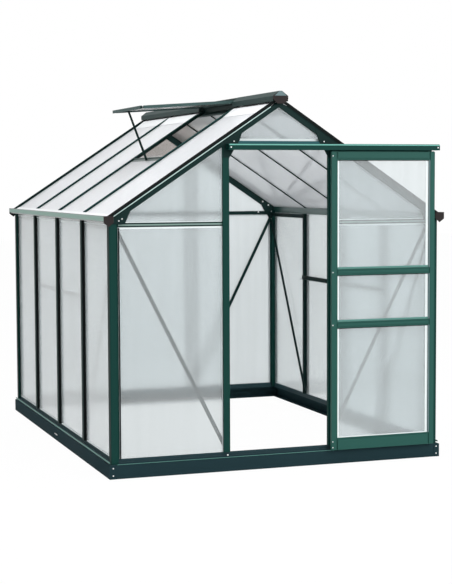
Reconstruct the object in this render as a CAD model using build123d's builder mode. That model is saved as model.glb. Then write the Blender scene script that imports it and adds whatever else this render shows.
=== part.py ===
from build123d import *
from math import atan2, cos, degrees, radians, tan
import os

os.makedirs("parts", exist_ok=True)

# Small walk-in greenhouse: an aluminium frame glazed with twin-wall sheet on a steel base,
# with a hung sliding door in the front gable and a propped window in the left roof slope.
# X runs along the front gable, Y towards the rear gable, Z up from the ground.

# Overall sizes
BASE_W = 1900.0
BASE_L = 2530.0
BASE_H = 72.0
BAYS = 4
ROOF_ANGLE = 33.4
EAVE_RISE = 37.2
GUTTER_Z = 1334.0
BASE_STEP = 13.4

# Stock and clearances
WALL = 1.6
STEEL = 1.5
FIT = 0.3
SHEET = 4.0
PLATE = 2.0

# Glazing bar section
BAR_W = 36.0
PROUD = 15.0
ROOF_PROUD = 14.5
DEPTH = 38.0
NECK = 7.0
SLOT_W = 16.0
SLOT_LIP = 3.5
GROOVE = SHEET + 2 * FIT

# Slim glazing bars of the roof
ROOF_BAR_W = 16.0
ROOF_BAR_UP = 5.0
ROOF_BAR_DOWN = 6.0
ROOF_BAR_WALL = 1.2

# Corner posts and lips
POST = 38.0
POST_LIP = 10.0
POST_R = 4.0

# Base rails
BASE_FLANGE = 33.0
BASE_HEM = 10.0
TAB = 33.0
SPLICE_L = 90.0
SPLICE_INSET = 8.0

# Sill section
SILL_H = 29.0
SILL_OUT = 9.0
SILL_SHELF = 14.0

# Door wall
DOOR_SHARE = 0.3214
HEADER_DROP = 16.3
HEADER_H = 36.0
CROSS_DROP = 28.0
CROSS_H = 23.0

# Rafters at the gables
RAFTER_D = 47.6
RAFTER_BOX = 15.0
RAFTER_STEP = 5.0
RAFTER_BEAD = 5.0

# Gutter
GUTTER_OUT = 31.0
GUTTER_H = 32.0
GUTTER_OVER = 14.0
GUTTER_BELLY = 4.0
GUTTER_CURL = 4.0
EAVE_DROP = 14.0
CAP_DROP = 24.0
CAP_T = 3.0
RAFTER_WEB = 25.0
ANGLE_LEG = 28.0

# Ridge
RIDGE_HALF = 43.0
RIDGE_FLAT = 8.0
RIDGE_RISE = 28.2
SHOULDER_DROP = -1.2
RIDGE_WEB = 3.2
RIDGE_FOOT = 30.0
RIDGE_OVER = 18.0

SHELF_GAP = 1.0
SHELF_W = 20.0
PANE_RIDGE = 5.0
BRACE_W = 21.0
BRACE_LIP = 8.0
BRACE_PAST = 40.0
GABLE_BRACE_DROP = 9.0
SIDE_BRACE_DROP = 72.0
RAIL_SHARE = 0.66
UPPER_RAIL_DROP = 42.0
RAIL_H = 25.0
VENT_SILL_IN = 3.0

# Sliding door
DOOR_LAP = 6.0
DOOR_STOP = 36.6
DOOR_RAISE = 8.0
DOOR_UNDER = 9.0
DOOR_T = 18.0
DOOR_GAP = 22.0
STILE_W = 36.0
RAIL_BOTTOM = 66.0
RAIL_MID = 34.0
RAIL_TOP = 44.0
MID_SHARE_1 = 0.4115
MID_SHARE_2 = 0.5885
TRACK_DROP = 12.0
TRACK_OVER = 25.0
TRACK_H = 33.0
TRACK_D = 48.0
TRACK_SLOT = 10.0
TRACK_BEVEL = 8.0
WHEEL_R = 11.0
WHEEL_T = 6.0

DOOR_LIP = 10.0
HANGER_IN = 70.0
HANGER_W = 26.0
AXLE_R = 3.0

# Roof window
VENT_BAY = 1
VENT_SHARE = 0.4911
VENT_LAP = 24.0
VENT_DROP = 3.8
VENT_HINGE_X = 12.0
VENT_HINGE_UP = 13.2
VENT_TUBE = 12.0
VENT_H = 17.0
VENT_LIP = 9.0
VENT_SIDE = 12.0
STAY_W = 12.0
STAY_T = 3.0
STAY_TOP_IN = 15.7
STAY_LOW_OUT = 4.5

# Derived
WX = BASE_W / 2 - BASE_STEP
WY = BASE_L / 2 - BASE_STEP
BAY = 2 * WY / BAYS
BAR_Y = [BAY * (i - BAYS / 2) for i in range(1, BAYS)]
SLOPE = tan(radians(ROOF_ANGLE))
COSR = cos(radians(ROOF_ANGLE))
RIDGE_Z = GUTTER_Z + EAVE_RISE + SLOPE * WX
RIDGE_TOP = RIDGE_Z + RIDGE_RISE
RIDGE_SHOULDER = RIDGE_Z - SHOULDER_DROP
SILL_Z = BASE_H + FIT
SHELF_Z = SILL_Z + SILL_SHELF
POST_TOP = GUTTER_Z - FIT
PANE_TOP = GUTTER_Z - 2 * FIT
PANE_Z0 = SHELF_Z + FIT
PANE_D = PROUD + FIT
INNER = PROUD + GROOVE
ROOF_INNER = ROOF_PROUD + GROOVE
ROOF_BAR_TOP = ROOF_PROUD - ROOF_BAR_UP
ROOF_BAR_LOW = ROOF_INNER + ROOF_BAR_DOWN
GUTTER_Y = WY + GUTTER_OVER
EAVE_X = WX + 8.0
RAFTER_X = WX - INNER - WALL - 1.0
SPLICE_H = BASE_H - 2 * SPLICE_INSET
CORNERS = [(1, 1, 0), (-1, 1, 90), (-1, -1, 180), (1, -1, 270)]


def roof_z(x, d):
    return RIDGE_Z - SLOPE * abs(x) - d / COSR


DOOR_POST_X = DOOR_SHARE * WX
HEADER_LOW = roof_z(DOOR_POST_X, RAFTER_D) - HEADER_DROP
HEADER_TOP = HEADER_LOW + HEADER_H
CROSS_LOW = GUTTER_Z - CROSS_DROP
TRACK_Z = HEADER_LOW - TRACK_DROP
DOOR_W = 2 * (DOOR_POST_X + DOOR_LAP)
DOOR_TRAVEL = WX - DOOR_STOP - DOOR_W / 2
DOOR_LOW = BASE_H + DOOR_RAISE
DOOR_TOP = TRACK_Z - DOOR_UNDER
MID_RAIL_Z1 = DOOR_LOW + MID_SHARE_1 * (DOOR_TOP - DOOR_LOW)
MID_RAIL_Z2 = DOOR_LOW + MID_SHARE_2 * (DOOR_TOP - DOOR_LOW)
TRACK_X0 = -DOOR_POST_X
TRACK_X1 = DOOR_TRAVEL + DOOR_W / 2 + TRACK_OVER
GABLE_BRACE_Z = GUTTER_Z - GABLE_BRACE_DROP
SIDE_BRACE_Z = GUTTER_Z - SIDE_BRACE_DROP
RAIL_Z = RAIL_SHARE * GUTTER_Z
UPPER_RAIL_Z = GUTTER_Z - UPPER_RAIL_DROP
SILL_X = VENT_SHARE * WX
VENT_LEN = SILL_X / COSR + VENT_LAP
VENT_HINGE_Z = RIDGE_Z + VENT_HINGE_UP
SHELF_RIDGE = VENT_HINGE_Z - VENT_H - SHELF_GAP


def bar_section(proud, depth):
    inner = proud + GROOVE
    with BuildSketch() as s:
        Rectangle(BAR_W, proud, align=(Align.CENTER, Align.MAX))
        fillet(s.vertices().sort_by(Axis.Y)[-2:], 1.5)
        with Locations((0, -WALL)):
            Rectangle(BAR_W - 2 * WALL, proud - 2 * WALL,
                      align=(Align.CENTER, Align.MAX), mode=Mode.SUBTRACT)
        with Locations((0, -proud)):
            Rectangle(NECK, GROOVE, align=(Align.CENTER, Align.MAX))
        if depth > inner:
            with Locations((0, -inner)):
                Rectangle(BAR_W, WALL, align=(Align.CENTER, Align.MAX))
        if depth > inner + 3 * WALL:
            with Locations((0, -inner - WALL / 2)):
                Rectangle(SLOT_W, depth - inner - WALL / 2, align=(Align.CENTER, Align.MAX))
            with Locations((0, -inner - WALL)):
                Rectangle(SLOT_W - 2 * WALL, depth - inner - 2 * WALL,
                          align=(Align.CENTER, Align.MAX), mode=Mode.SUBTRACT)
            with Locations((0, -depth)):
                Rectangle(SLOT_W - 2 * SLOT_LIP, WALL,
                          align=(Align.CENTER, Align.MIN), mode=Mode.SUBTRACT)
    return s.sketch


def hat_section(proud):
    return bar_section(proud, proud + GROOVE)


def roof_bar_section(depth):
    with BuildSketch() as s:
        with Locations((0, -ROOF_BAR_TOP)):
            Rectangle(ROOF_BAR_W, ROOF_BAR_UP, align=(Align.CENTER, Align.MAX))
        fillet(s.vertices().sort_by(Axis.Y)[-2:], 1.0)
        with Locations((0, -ROOF_BAR_TOP - ROOF_BAR_WALL)):
            Rectangle(ROOF_BAR_W - 2 * ROOF_BAR_WALL, ROOF_BAR_UP - 2 * ROOF_BAR_WALL,
                      align=(Align.CENTER, Align.MAX), mode=Mode.SUBTRACT)
        with Locations((0, -ROOF_PROUD)):
            Rectangle(NECK, GROOVE, align=(Align.CENTER, Align.MAX))
        with Locations((0, -ROOF_INNER)):
            Rectangle(ROOF_BAR_W, WALL, align=(Align.CENTER, Align.MAX))
            Rectangle(WALL, depth - ROOF_INNER, align=(Align.CENTER, Align.MAX))
    return s.sketch


def post_section():
    with BuildSketch() as s:
        Rectangle(POST, POST, align=(Align.MAX, Align.MAX))
        fillet(s.vertices().sort_by(SortBy.DISTANCE)[:1], POST_R)
        with Locations((-WALL, -WALL)):
            Rectangle(POST - 2 * WALL, POST - 2 * WALL,
                      align=(Align.MAX, Align.MAX), mode=Mode.SUBTRACT)
        for d in (PROUD - WALL, INNER):
            with Locations((-POST + WALL / 2, -d)):
                Rectangle(POST_LIP + WALL / 2, WALL, align=(Align.MAX, Align.MAX))
            with Locations((-d, -POST + WALL / 2)):
                Rectangle(WALL, POST_LIP + WALL / 2, align=(Align.MAX, Align.MAX))
    return s.sketch


def sill_section():
    with BuildSketch() as s:
        with Locations((0, SILL_OUT)):
            Rectangle(WALL, SILL_OUT + INNER + WALL, align=(Align.MIN, Align.MAX))
        with Locations((0, -4)):
            Rectangle(SILL_SHELF, WALL, align=(Align.MIN, Align.MAX))
        with Locations((SILL_SHELF - WALL, -4)):
            Rectangle(WALL, INNER + WALL - 4, align=(Align.MIN, Align.MAX))
        for d in (PROUD - WALL, INNER):
            with Locations((SILL_SHELF - WALL, -d)):
                Rectangle(SILL_H - SILL_SHELF + WALL, WALL, align=(Align.MIN, Align.MAX))
        with Locations((0, -INNER)):
            Rectangle(SILL_SHELF, WALL, align=(Align.MIN, Align.MAX))
    return s.sketch


def edge_section(tube, height, lip):
    top = (height - GROOVE) / 2
    with BuildSketch() as s:
        Rectangle(tube, height, align=(Align.MIN, Align.MAX))
        with Locations((WALL, -WALL)):
            Rectangle(tube - 2 * WALL, height - 2 * WALL,
                      align=(Align.MIN, Align.MAX), mode=Mode.SUBTRACT)
        for d in (top - WALL, top + GROOVE):
            with Locations((tube - WALL / 2, -d)):
                Rectangle(lip + WALL / 2, WALL, align=(Align.MIN, Align.MAX))
    return s.sketch


def base_section():
    with BuildSketch() as s:
        Rectangle(BASE_H, BASE_FLANGE, align=(Align.MIN, Align.MAX))
        with Locations((STEEL, -STEEL)):
            Rectangle(BASE_H - 2 * STEEL, BASE_FLANGE - 2 * STEEL,
                      align=(Align.MIN, Align.MAX), mode=Mode.SUBTRACT)
        with Locations((BASE_HEM, -BASE_FLANGE)):
            Rectangle(BASE_H - 2 * BASE_HEM, STEEL,
                      align=(Align.MIN, Align.MIN), mode=Mode.SUBTRACT)
    return s.sketch


def gutter_section():
    wall_top = roof_z(WX - INNER, ROOF_INNER + WALL) - FIT - GUTTER_Z
    edge = GUTTER_OUT - GUTTER_BELLY
    with BuildSketch() as s:
        with Locations((0, edge)):
            Rectangle(WALL, edge + INNER + WALL, align=(Align.MIN, Align.MAX))
        with BuildLine():
            Polyline((0, edge), (GUTTER_H / 2, GUTTER_OUT), (GUTTER_H, edge),
                     (GUTTER_H, edge - GUTTER_CURL), (GUTTER_H - WALL, edge - GUTTER_CURL),
                     (GUTTER_H - WALL, edge - WALL), (GUTTER_H / 2, GUTTER_OUT - WALL),
                     (0, edge - WALL), close=True)
        make_face()
        with Locations((-EAVE_DROP, -INNER)):
            Rectangle(EAVE_DROP + wall_top, WALL, align=(Align.MIN, Align.MAX))
    return s.sketch


def rafter_box():
    bead = RAFTER_BEAD + 0.4 * WALL
    with BuildSketch() as s:
        with Locations((0, -ROOF_INNER)):
            Rectangle(RAFTER_BOX, RAFTER_D - ROOF_INNER, align=(Align.MAX, Align.MAX))
        chamfer(s.vertices().sort_by(SortBy.DISTANCE)[:1], RAFTER_BEAD)
        with BuildLine():
            Polyline((-WALL, -ROOF_INNER - bead), (-bead, -ROOF_INNER - WALL),
                     (WALL - RAFTER_BOX, -ROOF_INNER - WALL),
                     (WALL - RAFTER_BOX, WALL - RAFTER_D), (-WALL, WALL - RAFTER_D), close=True)
        make_face(mode=Mode.SUBTRACT)
        with Locations((-RAFTER_BOX + WALL, -ROOF_INNER)):
            Rectangle(POST_LIP, WALL, align=(Align.MAX, Align.MAX))
        with Locations((-RAFTER_BOX + WALL, -RAFTER_WEB)):
            Rectangle(INNER - RAFTER_BOX + 2 * WALL, WALL, align=(Align.MAX, Align.MAX))
        with Locations((-INNER, -RAFTER_WEB)):
            Rectangle(WALL, RAFTER_D - RAFTER_WEB, align=(Align.MAX, Align.MAX))
    return s.sketch


def rafter_strip():
    with BuildSketch() as s:
        with Locations((-RAFTER_STEP, 0)):
            Rectangle(WALL, ROOF_INNER + WALL / 2, align=(Align.MAX, Align.MAX))
        with Locations((-RAFTER_STEP, -ROOF_PROUD + WALL)):
            Rectangle(RAFTER_BOX + POST_LIP - RAFTER_STEP - WALL, WALL,
                      align=(Align.MAX, Align.MAX))
    return s.sketch


def cross_section():
    with BuildSketch() as s:
        with Locations((0, -PROUD + WALL)):
            Rectangle(CROSS_H, WALL, align=(Align.MIN, Align.MAX))
        with Locations((0, -INNER)):
            Rectangle(CROSS_H, WALL, align=(Align.MIN, Align.MAX))
        with Locations((CROSS_H / 2 - WALL / 2, -PROUD + WALL / 2)):
            Rectangle(WALL, GROOVE + WALL, align=(Align.MIN, Align.MAX))
    return s.sketch


def wall_plane(nx, ny, dist, z, along=0.0):
    return Plane(origin=(nx * dist - ny * along, ny * dist + nx * along, z),
                 x_dir=(0, 0, 1), z_dir=(-ny, nx, 0))


def roof_plane(side):
    return Plane(origin=(0, 0, RIDGE_Z), x_dir=(0, side, 0),
                 z_dir=(side * COSR, 0, -SLOPE * COSR))


def strip_bar(p, q, width, across=0.0):
    mid = ((p[0] + q[0]) / 2, (p[1] + q[1]) / 2)
    run = Vector(q[0] - p[0], q[1] - p[1])
    with BuildSketch() as s:
        with Locations(Location(mid, degrees(atan2(run.Y, run.X)))):
            with Locations((0, across)):
                Rectangle(run.length, width)
    return s.sketch


# Steel base
FRONT_Y = BASE_L / 2 - STEEL - FIT
FRONT_X = BASE_W / 2 - STEEL - FIT
for label, ny in (("base_front", -1), ("base_rear", 1)):
    with BuildPart() as rail:
        with BuildSketch(wall_plane(0, ny, FRONT_Y, 0)):
            add(base_section())
        extrude(amount=FRONT_X, both=True)
    rail.part.label = label
    export_step(rail.part, "parts/" + label + ".step")

for label, side in (("base_left", -1), ("base_right", 1)):
    with BuildPart() as rail:
        for ny in (-1, 1):
            with BuildSketch(wall_plane(side, 0, BASE_W / 2, 0, side * ny * FIT / 2)):
                add(base_section())
            extrude(amount=side * ny * (BASE_L / 2 - FIT / 2))
        for ny in (-1, 1):
            with Locations((side * (BASE_W / 2 - STEEL), ny * BASE_L / 2, BASE_H / 2)):
                Box(2 * BASE_FLANGE, 2 * (BASE_FLANGE + STEEL + 2 * FIT), 2 * BASE_H,
                    align=(Align.MAX if side > 0 else Align.MIN, Align.CENTER, Align.CENTER),
                    mode=Mode.SUBTRACT)
            with Locations((side * BASE_W / 2, ny * BASE_L / 2, 0)):
                Box(TAB, STEEL, BASE_H,
                    align=(Align.MAX if side > 0 else Align.MIN,
                           Align.MAX if ny > 0 else Align.MIN, Align.MIN))
    rail.part.label = label
    export_step(rail.part, "parts/" + label + ".step")

with BuildPart() as base_brackets:
    for side in (-1, 1):
        with Locations((side * FRONT_X, 0, BASE_H / 2)):
            Box(PLATE, SPLICE_L, SPLICE_H,
                align=(Align.MAX if side > 0 else Align.MIN, Align.CENTER, Align.CENTER))
    for sx, sy, turn in CORNERS:
        with BuildSketch(Plane.XY.offset(2 * STEEL)):
            with Locations(Location((sx * FRONT_X, sy * (FRONT_Y - STEEL - FIT)), turn)):
                Rectangle(ANGLE_LEG, PLATE, align=(Align.MAX, Align.MAX))
                Rectangle(PLATE, ANGLE_LEG, align=(Align.MAX, Align.MAX))
        extrude(amount=BASE_H - 4 * STEEL)
base_brackets.part.label = "base_brackets"
export_step(base_brackets.part, "parts/base_brackets.step")

# Sills
GABLE_SILL = WX - POST - FIT
for label, nx, ny, dist, half, ledge in (
        ("sill_front", 0, -1, WY, GABLE_SILL, WX - INNER - WALL - FIT),
        ("sill_rear", 0, 1, WY, GABLE_SILL, WX - INNER - WALL - FIT),
        ("sill_left", -1, 0, WX, WY - POST - FIT, WY + SILL_OUT),
        ("sill_right", 1, 0, WX, WY - POST - FIT, WY + SILL_OUT)):
    with BuildPart() as sill:
        with BuildSketch(wall_plane(nx, ny, dist, SILL_Z)):
            add(sill_section())
        extrude(amount=half, both=True)
        with BuildSketch(wall_plane(nx, ny, dist, SILL_Z)):
            with Locations((0, SILL_OUT)):
                Rectangle(WALL, SILL_OUT + INNER + WALL, align=(Align.MIN, Align.MAX))
        extrude(amount=ledge, both=True)
    sill.part.label = label
    export_step(sill.part, "parts/" + label + ".step")

# Corner posts
with BuildPart() as corner_posts:
    for sx, sy, turn in CORNERS:
        with BuildSketch(Plane.XY.offset(SILL_Z + WALL + FIT)):
            with Locations(Location((sx * WX, sy * WY), turn)):
                add(post_section())
        extrude(amount=POST_TOP - SILL_Z - WALL - FIT)
    for sx, sy, turn in CORNERS:
        with Locations((sx * (WX - POST), sy * WY, BASE_H)):
            Box(2 * POST_LIP, 2 * POST, SILL_H + 2 * FIT,
                align=(Align.MAX if sx > 0 else Align.MIN, Align.CENTER, Align.MIN),
                mode=Mode.SUBTRACT)
        with Locations((sx * WX, sy * (WY - POST), BASE_H)):
            Box(2 * POST, 2 * POST_LIP, SILL_H + 2 * FIT,
                align=(Align.CENTER, Align.MAX if sy > 0 else Align.MIN, Align.MIN),
                mode=Mode.SUBTRACT)
corner_posts.part.label = "corner_posts"
export_step(corner_posts.part, "parts/corner_posts.step")

# Side glazing bars
BAR_Z0 = SILL_Z + SILL_H + FIT
BAR_Z1 = GUTTER_Z - EAVE_DROP - FIT
for label, side in (("side_bars_left", -1), ("side_bars_right", 1)):
    with BuildPart() as bars:
        with BuildSketch(Plane.XY.offset(BAR_Z0)):
            for y in BAR_Y:
                with Locations(Location((side * WX, y), -90 * side)):
                    add(bar_section(PROUD, DEPTH))
        extrude(amount=BAR_Z1 - BAR_Z0)
        with BuildSketch(Plane.XY.offset(BAR_Z1)):
            for y in BAR_Y:
                with Locations(Location((side * WX, y), -90 * side)):
                    add(hat_section(PROUD))
        extrude(amount=POST_TOP - BAR_Z1)
    bars.part.label = label
    export_step(bars.part, "parts/" + label + ".step")

# Door posts and rear studs, cut to the rafters
for label, ny in (("door_posts", -1), ("rear_studs", 1)):
    with BuildPart() as studs:
        with BuildSketch(Plane.XY.offset(BAR_Z0)):
            for side in (-1, 1):
                with Locations(Location((side * DOOR_POST_X, ny * WY), 90 - 90 * ny)):
                    add(bar_section(PROUD, DEPTH))
        extrude(amount=RIDGE_Z - BAR_Z0)
        with BuildSketch(Plane.XZ):
            with BuildLine():
                Polyline((-WX, roof_z(WX, RAFTER_D) - FIT), (0, roof_z(0, RAFTER_D) - FIT),
                         (WX, roof_z(WX, RAFTER_D) - FIT), (WX, RIDGE_Z + 100),
                         (-WX, RIDGE_Z + 100), close=True)
            make_face()
        extrude(amount=2 * WY, both=True, mode=Mode.SUBTRACT)
    studs.part.label = label
    export_step(studs.part, "parts/" + label + ".step")

# Eave beams with gutters
for label, side in (("gutter_left", -1), ("gutter_right", 1)):
    with BuildPart() as gutter:
        with BuildSketch(wall_plane(side, 0, WX, GUTTER_Z)):
            add(gutter_section())
        extrude(amount=GUTTER_Y, both=True)
        for ny in (-1, 1):
            with Locations((side * WX, ny * (WY - POST - POST_LIP - FIT), GUTTER_Z)):
                Box(4 * POST, 4 * POST, 2 * EAVE_DROP,
                    align=(Align.CENTER, Align.MIN if ny > 0 else Align.MAX, Align.MAX),
                    mode=Mode.SUBTRACT)
    gutter.part.label = label
    export_step(gutter.part, "parts/" + label + ".step")

def slope_piece(section, side, places, x_in, x_out):
    with BuildPart() as piece:
        with BuildSketch(roof_plane(side)):
            for y in places:
                with Locations((side * y, 0)):
                    add(section)
        extrude(amount=WX * 1.3)
        with Locations((side * x_out, 0, 0)):
            Box(WX, BASE_L, 4 * RIDGE_Z,
                align=(Align.MIN if side > 0 else Align.MAX, Align.CENTER, Align.CENTER),
                mode=Mode.SUBTRACT)
        with Locations((side * x_in, 0, 0)):
            Box(WX, BASE_L, 4 * RIDGE_Z,
                align=(Align.MAX if side > 0 else Align.MIN, Align.CENTER, Align.CENTER),
                mode=Mode.SUBTRACT)
    return piece.part


# Gable rafters
for label, ny in (("front_rafters", -1), ("rear_rafters", 1)):
    with BuildPart() as rafters:
        for side in (-1, 1):
            box = rafter_box()
            if side * ny < 0:
                box = mirror(box, about=Plane.YZ, mode=Mode.PRIVATE)
            add(slope_piece(box, side, [ny * WY], FIT, RAFTER_X))
        with Locations((0, ny * WY, GUTTER_Z + FIT)):
            Box(2 * WX, 200, 200, align=(Align.CENTER, Align.CENTER, Align.MAX),
                mode=Mode.SUBTRACT)
        for side in (-1, 1):
            strip = rafter_strip()
            if side * ny < 0:
                strip = mirror(strip, about=Plane.YZ, mode=Mode.PRIVATE)
            add(slope_piece(strip, side, [ny * WY], RIDGE_HALF + FIT, EAVE_X))
    rafters.part.label = label
    export_step(rafters.part, "parts/" + label + ".step")

# Roof bars
FOOT_CUT = RAFTER_X - 1.0
for label, side in (("roof_bars_left", -1), ("roof_bars_right", 1)):
    with BuildPart() as bars:
        add(slope_piece(roof_bar_section(ROOF_BAR_LOW), side, BAR_Y,
                        RIDGE_WEB / 2 + FIT, FOOT_CUT))
        add(slope_piece(roof_bar_section(ROOF_INNER + WALL), side, BAR_Y,
                        FOOT_CUT - 1, EAVE_X))
    bars.part.label = label
    export_step(bars.part, "parts/" + label + ".step")

# Ridge beam with its cap, stepped back over the window
RIDGE_IN = WY - RAFTER_BOX - POST_LIP - 2 * FIT
SKIRT_Z = roof_z(RIDGE_HALF - WALL, 0) + FIT
FOOT_D = ROOF_BAR_LOW + FIT
VENT_Y = BAY * (VENT_BAY + 0.5) - WY
VENT_HALF = BAY / 2 - VENT_SIDE
with BuildPart() as ridge_beam:
    with BuildSketch(Plane.XZ):
        with BuildLine():
            Polyline((-RIDGE_HALF, SKIRT_Z), (-RIDGE_HALF, RIDGE_SHOULDER),
                     (-RIDGE_FLAT, RIDGE_TOP), (RIDGE_FLAT, RIDGE_TOP),
                     (RIDGE_HALF, RIDGE_SHOULDER), (RIDGE_HALF, SKIRT_Z), close=True)
        make_face()
        with BuildLine():
            Polyline((WALL - RIDGE_HALF, SKIRT_Z), (WALL - RIDGE_HALF, RIDGE_SHOULDER - WALL / 2),
                     (WALL / 2 - RIDGE_FLAT, RIDGE_TOP - WALL),
                     (RIDGE_FLAT - WALL / 2, RIDGE_TOP - WALL),
                     (RIDGE_HALF - WALL, RIDGE_SHOULDER - WALL / 2),
                     (RIDGE_HALF - WALL, SKIRT_Z), close=True)
        make_face(mode=Mode.SUBTRACT)
    extrude(amount=WY + RIDGE_OVER, both=True)
    with Locations((-RIDGE_WEB / 2, VENT_Y, SKIRT_Z - 1)):
        Box(2 * RIDGE_HALF, 2 * (VENT_HALF + 2), RIDGE_TOP,
            align=(Align.MAX, Align.CENTER, Align.MIN), mode=Mode.SUBTRACT)
    with BuildSketch(Plane.XZ):
        with Locations((0, RIDGE_TOP - WALL / 2)):
            Rectangle(RIDGE_WEB, RIDGE_TOP - WALL / 2 - roof_z(0, FOOT_D + WALL),
                      align=(Align.CENTER, Align.MAX))
        with BuildLine():
            Polyline((0, roof_z(0, FOOT_D)),
                     (RIDGE_FOOT, roof_z(RIDGE_FOOT, FOOT_D)),
                     (RIDGE_FOOT, roof_z(RIDGE_FOOT, FOOT_D + WALL)),
                     (0, roof_z(0, FOOT_D + WALL)),
                     (-RIDGE_FOOT, roof_z(RIDGE_FOOT, FOOT_D + WALL)),
                     (-RIDGE_FOOT, roof_z(RIDGE_FOOT, FOOT_D)), close=True)
        make_face()
    extrude(amount=RIDGE_IN, both=True)
    with Locations((0, VENT_Y, SHELF_RIDGE)):
        Box(SHELF_W, 2 * VENT_HALF - BAR_W, WALL, align=(Align.MAX, Align.CENTER, Align.MAX))
ridge_beam.part.label = "ridge_beam"
export_step(ridge_beam.part, "parts/ridge_beam.step")

# End caps of the gutters and the ridge
with BuildPart() as end_caps:
    for ny in (-1, 1):
        with BuildSketch(Plane.XZ.offset(-ny * (GUTTER_Y + FIT))):
            for side in (-1, 1):
                with BuildLine():
                    Polyline((side * (WX - INNER), GUTTER_Z - 2),
                             (side * (WX + 6), GUTTER_Z - CAP_DROP),
                             (side * (WX + GUTTER_OUT + 2), GUTTER_Z - 4),
                             (side * (WX + GUTTER_OUT + 2), GUTTER_Z + GUTTER_H),
                             (side * (WX - INNER), GUTTER_Z + GUTTER_H), close=True)
                make_face()
        extrude(amount=-ny * CAP_T)
        with BuildSketch(Plane.XZ.offset(-ny * (WY + RIDGE_OVER + FIT))):
            with BuildLine():
                Polyline((-RIDGE_HALF, RIDGE_SHOULDER), (-RIDGE_FLAT, RIDGE_TOP),
                         (RIDGE_FLAT, RIDGE_TOP), (RIDGE_HALF, RIDGE_SHOULDER),
                         (RIDGE_HALF, SKIRT_Z + 12), (18, SKIRT_Z - 12),
                         (-18, SKIRT_Z - 12), (-RIDGE_HALF, SKIRT_Z + 12), close=True)
            make_face()
        extrude(amount=-ny * CAP_T)
end_caps.part.label = "end_caps"
export_step(end_caps.part, "parts/end_caps.step")

# Crossbars and door header
CROSS_A = DOOR_POST_X + BAR_W / 2 + FIT
CROSS_B = WX - POST - POST_LIP - FIT
for label, ny in (("front_crossbars", -1), ("rear_crossbars", 1)):
    with BuildPart() as cross:
        for side in (-1, 1):
            with BuildSketch(wall_plane(0, ny, WY, CROSS_LOW, side * CROSS_A)):
                add(cross_section())
            extrude(amount=side * (CROSS_B - CROSS_A))
        if ny > 0:
            with BuildSketch(wall_plane(0, ny, WY, CROSS_LOW)):
                add(cross_section())
            extrude(amount=DOOR_POST_X - BAR_W / 2 - FIT, both=True)
    cross.part.label = label
    export_step(cross.part, "parts/" + label + ".step")

HEAD_X = DOOR_POST_X - BAR_W / 2 - FIT
HEAD_H = HEADER_TOP - HEADER_LOW
HEAD_WEB = HEAD_H - SILL_SHELF
with BuildPart() as door_header:
    with BuildSketch(wall_plane(0, -1, WY, HEADER_LOW)):
        Rectangle(HEAD_H, PROUD, align=(Align.MIN, Align.MAX))
        with Locations((WALL, -WALL)):
            Rectangle(HEAD_H - 2 * WALL, PROUD - 2 * WALL,
                      align=(Align.MIN, Align.MAX), mode=Mode.SUBTRACT)
        with Locations((HEAD_WEB, -PROUD + WALL / 2)):
            Rectangle(WALL, GROOVE + WALL, align=(Align.MIN, Align.MAX))
        with Locations((HEAD_WEB, -INNER)):
            Rectangle(HEAD_H - HEAD_WEB, WALL, align=(Align.MIN, Align.MAX))
    extrude(amount=HEAD_X, both=True)
    with BuildSketch(Plane.XZ.offset(WY)):
        with BuildLine():
            Polyline((-WX, roof_z(WX, RAFTER_D) - FIT), (0, roof_z(0, RAFTER_D) - FIT),
                     (WX, roof_z(WX, RAFTER_D) - FIT), (WX, RIDGE_Z + 100),
                     (-WX, RIDGE_Z + 100), close=True)
        make_face()
    extrude(amount=BASE_L / 4, both=True, mode=Mode.SUBTRACT)
door_header.part.label = "door_header"
export_step(door_header.part, "parts/door_header.step")

# Gusset plates at the eaves and the post heads
HEAD_OUT = DOOR_POST_X + BAR_W / 2 - 3
HEAD_IN = DOOR_POST_X - BAR_W / 2
POST_OUT = WX - 6
POST_IN = WX - POST
for label, ny in (("front_gussets", -1), ("rear_gussets", 1)):
    with BuildPart() as gussets:
        with BuildSketch(Plane.XZ.offset(-ny * (WY + FIT))):
            for side in (-1, 1):
                with BuildLine():
                    Polyline((side * POST_OUT, CROSS_LOW + CROSS_H - 6),
                             (side * (POST_IN - 44), CROSS_LOW + CROSS_H - 6),
                             (side * (POST_IN - 52), CROSS_LOW + CROSS_H + 9),
                             (side * (POST_IN - 74), roof_z(POST_IN - 74, RAFTER_D)),
                             (side * (POST_IN - 86), roof_z(POST_IN - 86, RAFTER_D / 2)),
                             (side * (RAFTER_X - 4), roof_z(RAFTER_X - 4, RAFTER_D / 2)),
                             (side * (RAFTER_X - 4), GUTTER_Z - 1),
                             (side * POST_OUT, GUTTER_Z - 4), close=True)
                make_face()
                with BuildLine():
                    Polyline((side * HEAD_OUT, HEADER_LOW - 52), (side * HEAD_IN, HEADER_LOW - 52),
                             (side * (HEAD_IN - 15), HEADER_LOW - 30),
                             (side * (HEAD_IN - 29), HEADER_LOW - 6),
                             (side * (HEAD_IN - 57), HEADER_LOW + 37),
                             (side * (HEAD_IN - 71), roof_z(HEAD_IN - 71, RAFTER_D)),
                             (side * (HEAD_IN - 78), roof_z(HEAD_IN - 78, RAFTER_D / 2)),
                             (side * HEAD_OUT, roof_z(HEAD_OUT, RAFTER_D / 2)), close=True)
                make_face()
        extrude(amount=-ny * PLATE)
    gussets.part.label = label
    export_step(gussets.part, "parts/" + label + ".step")

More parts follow.
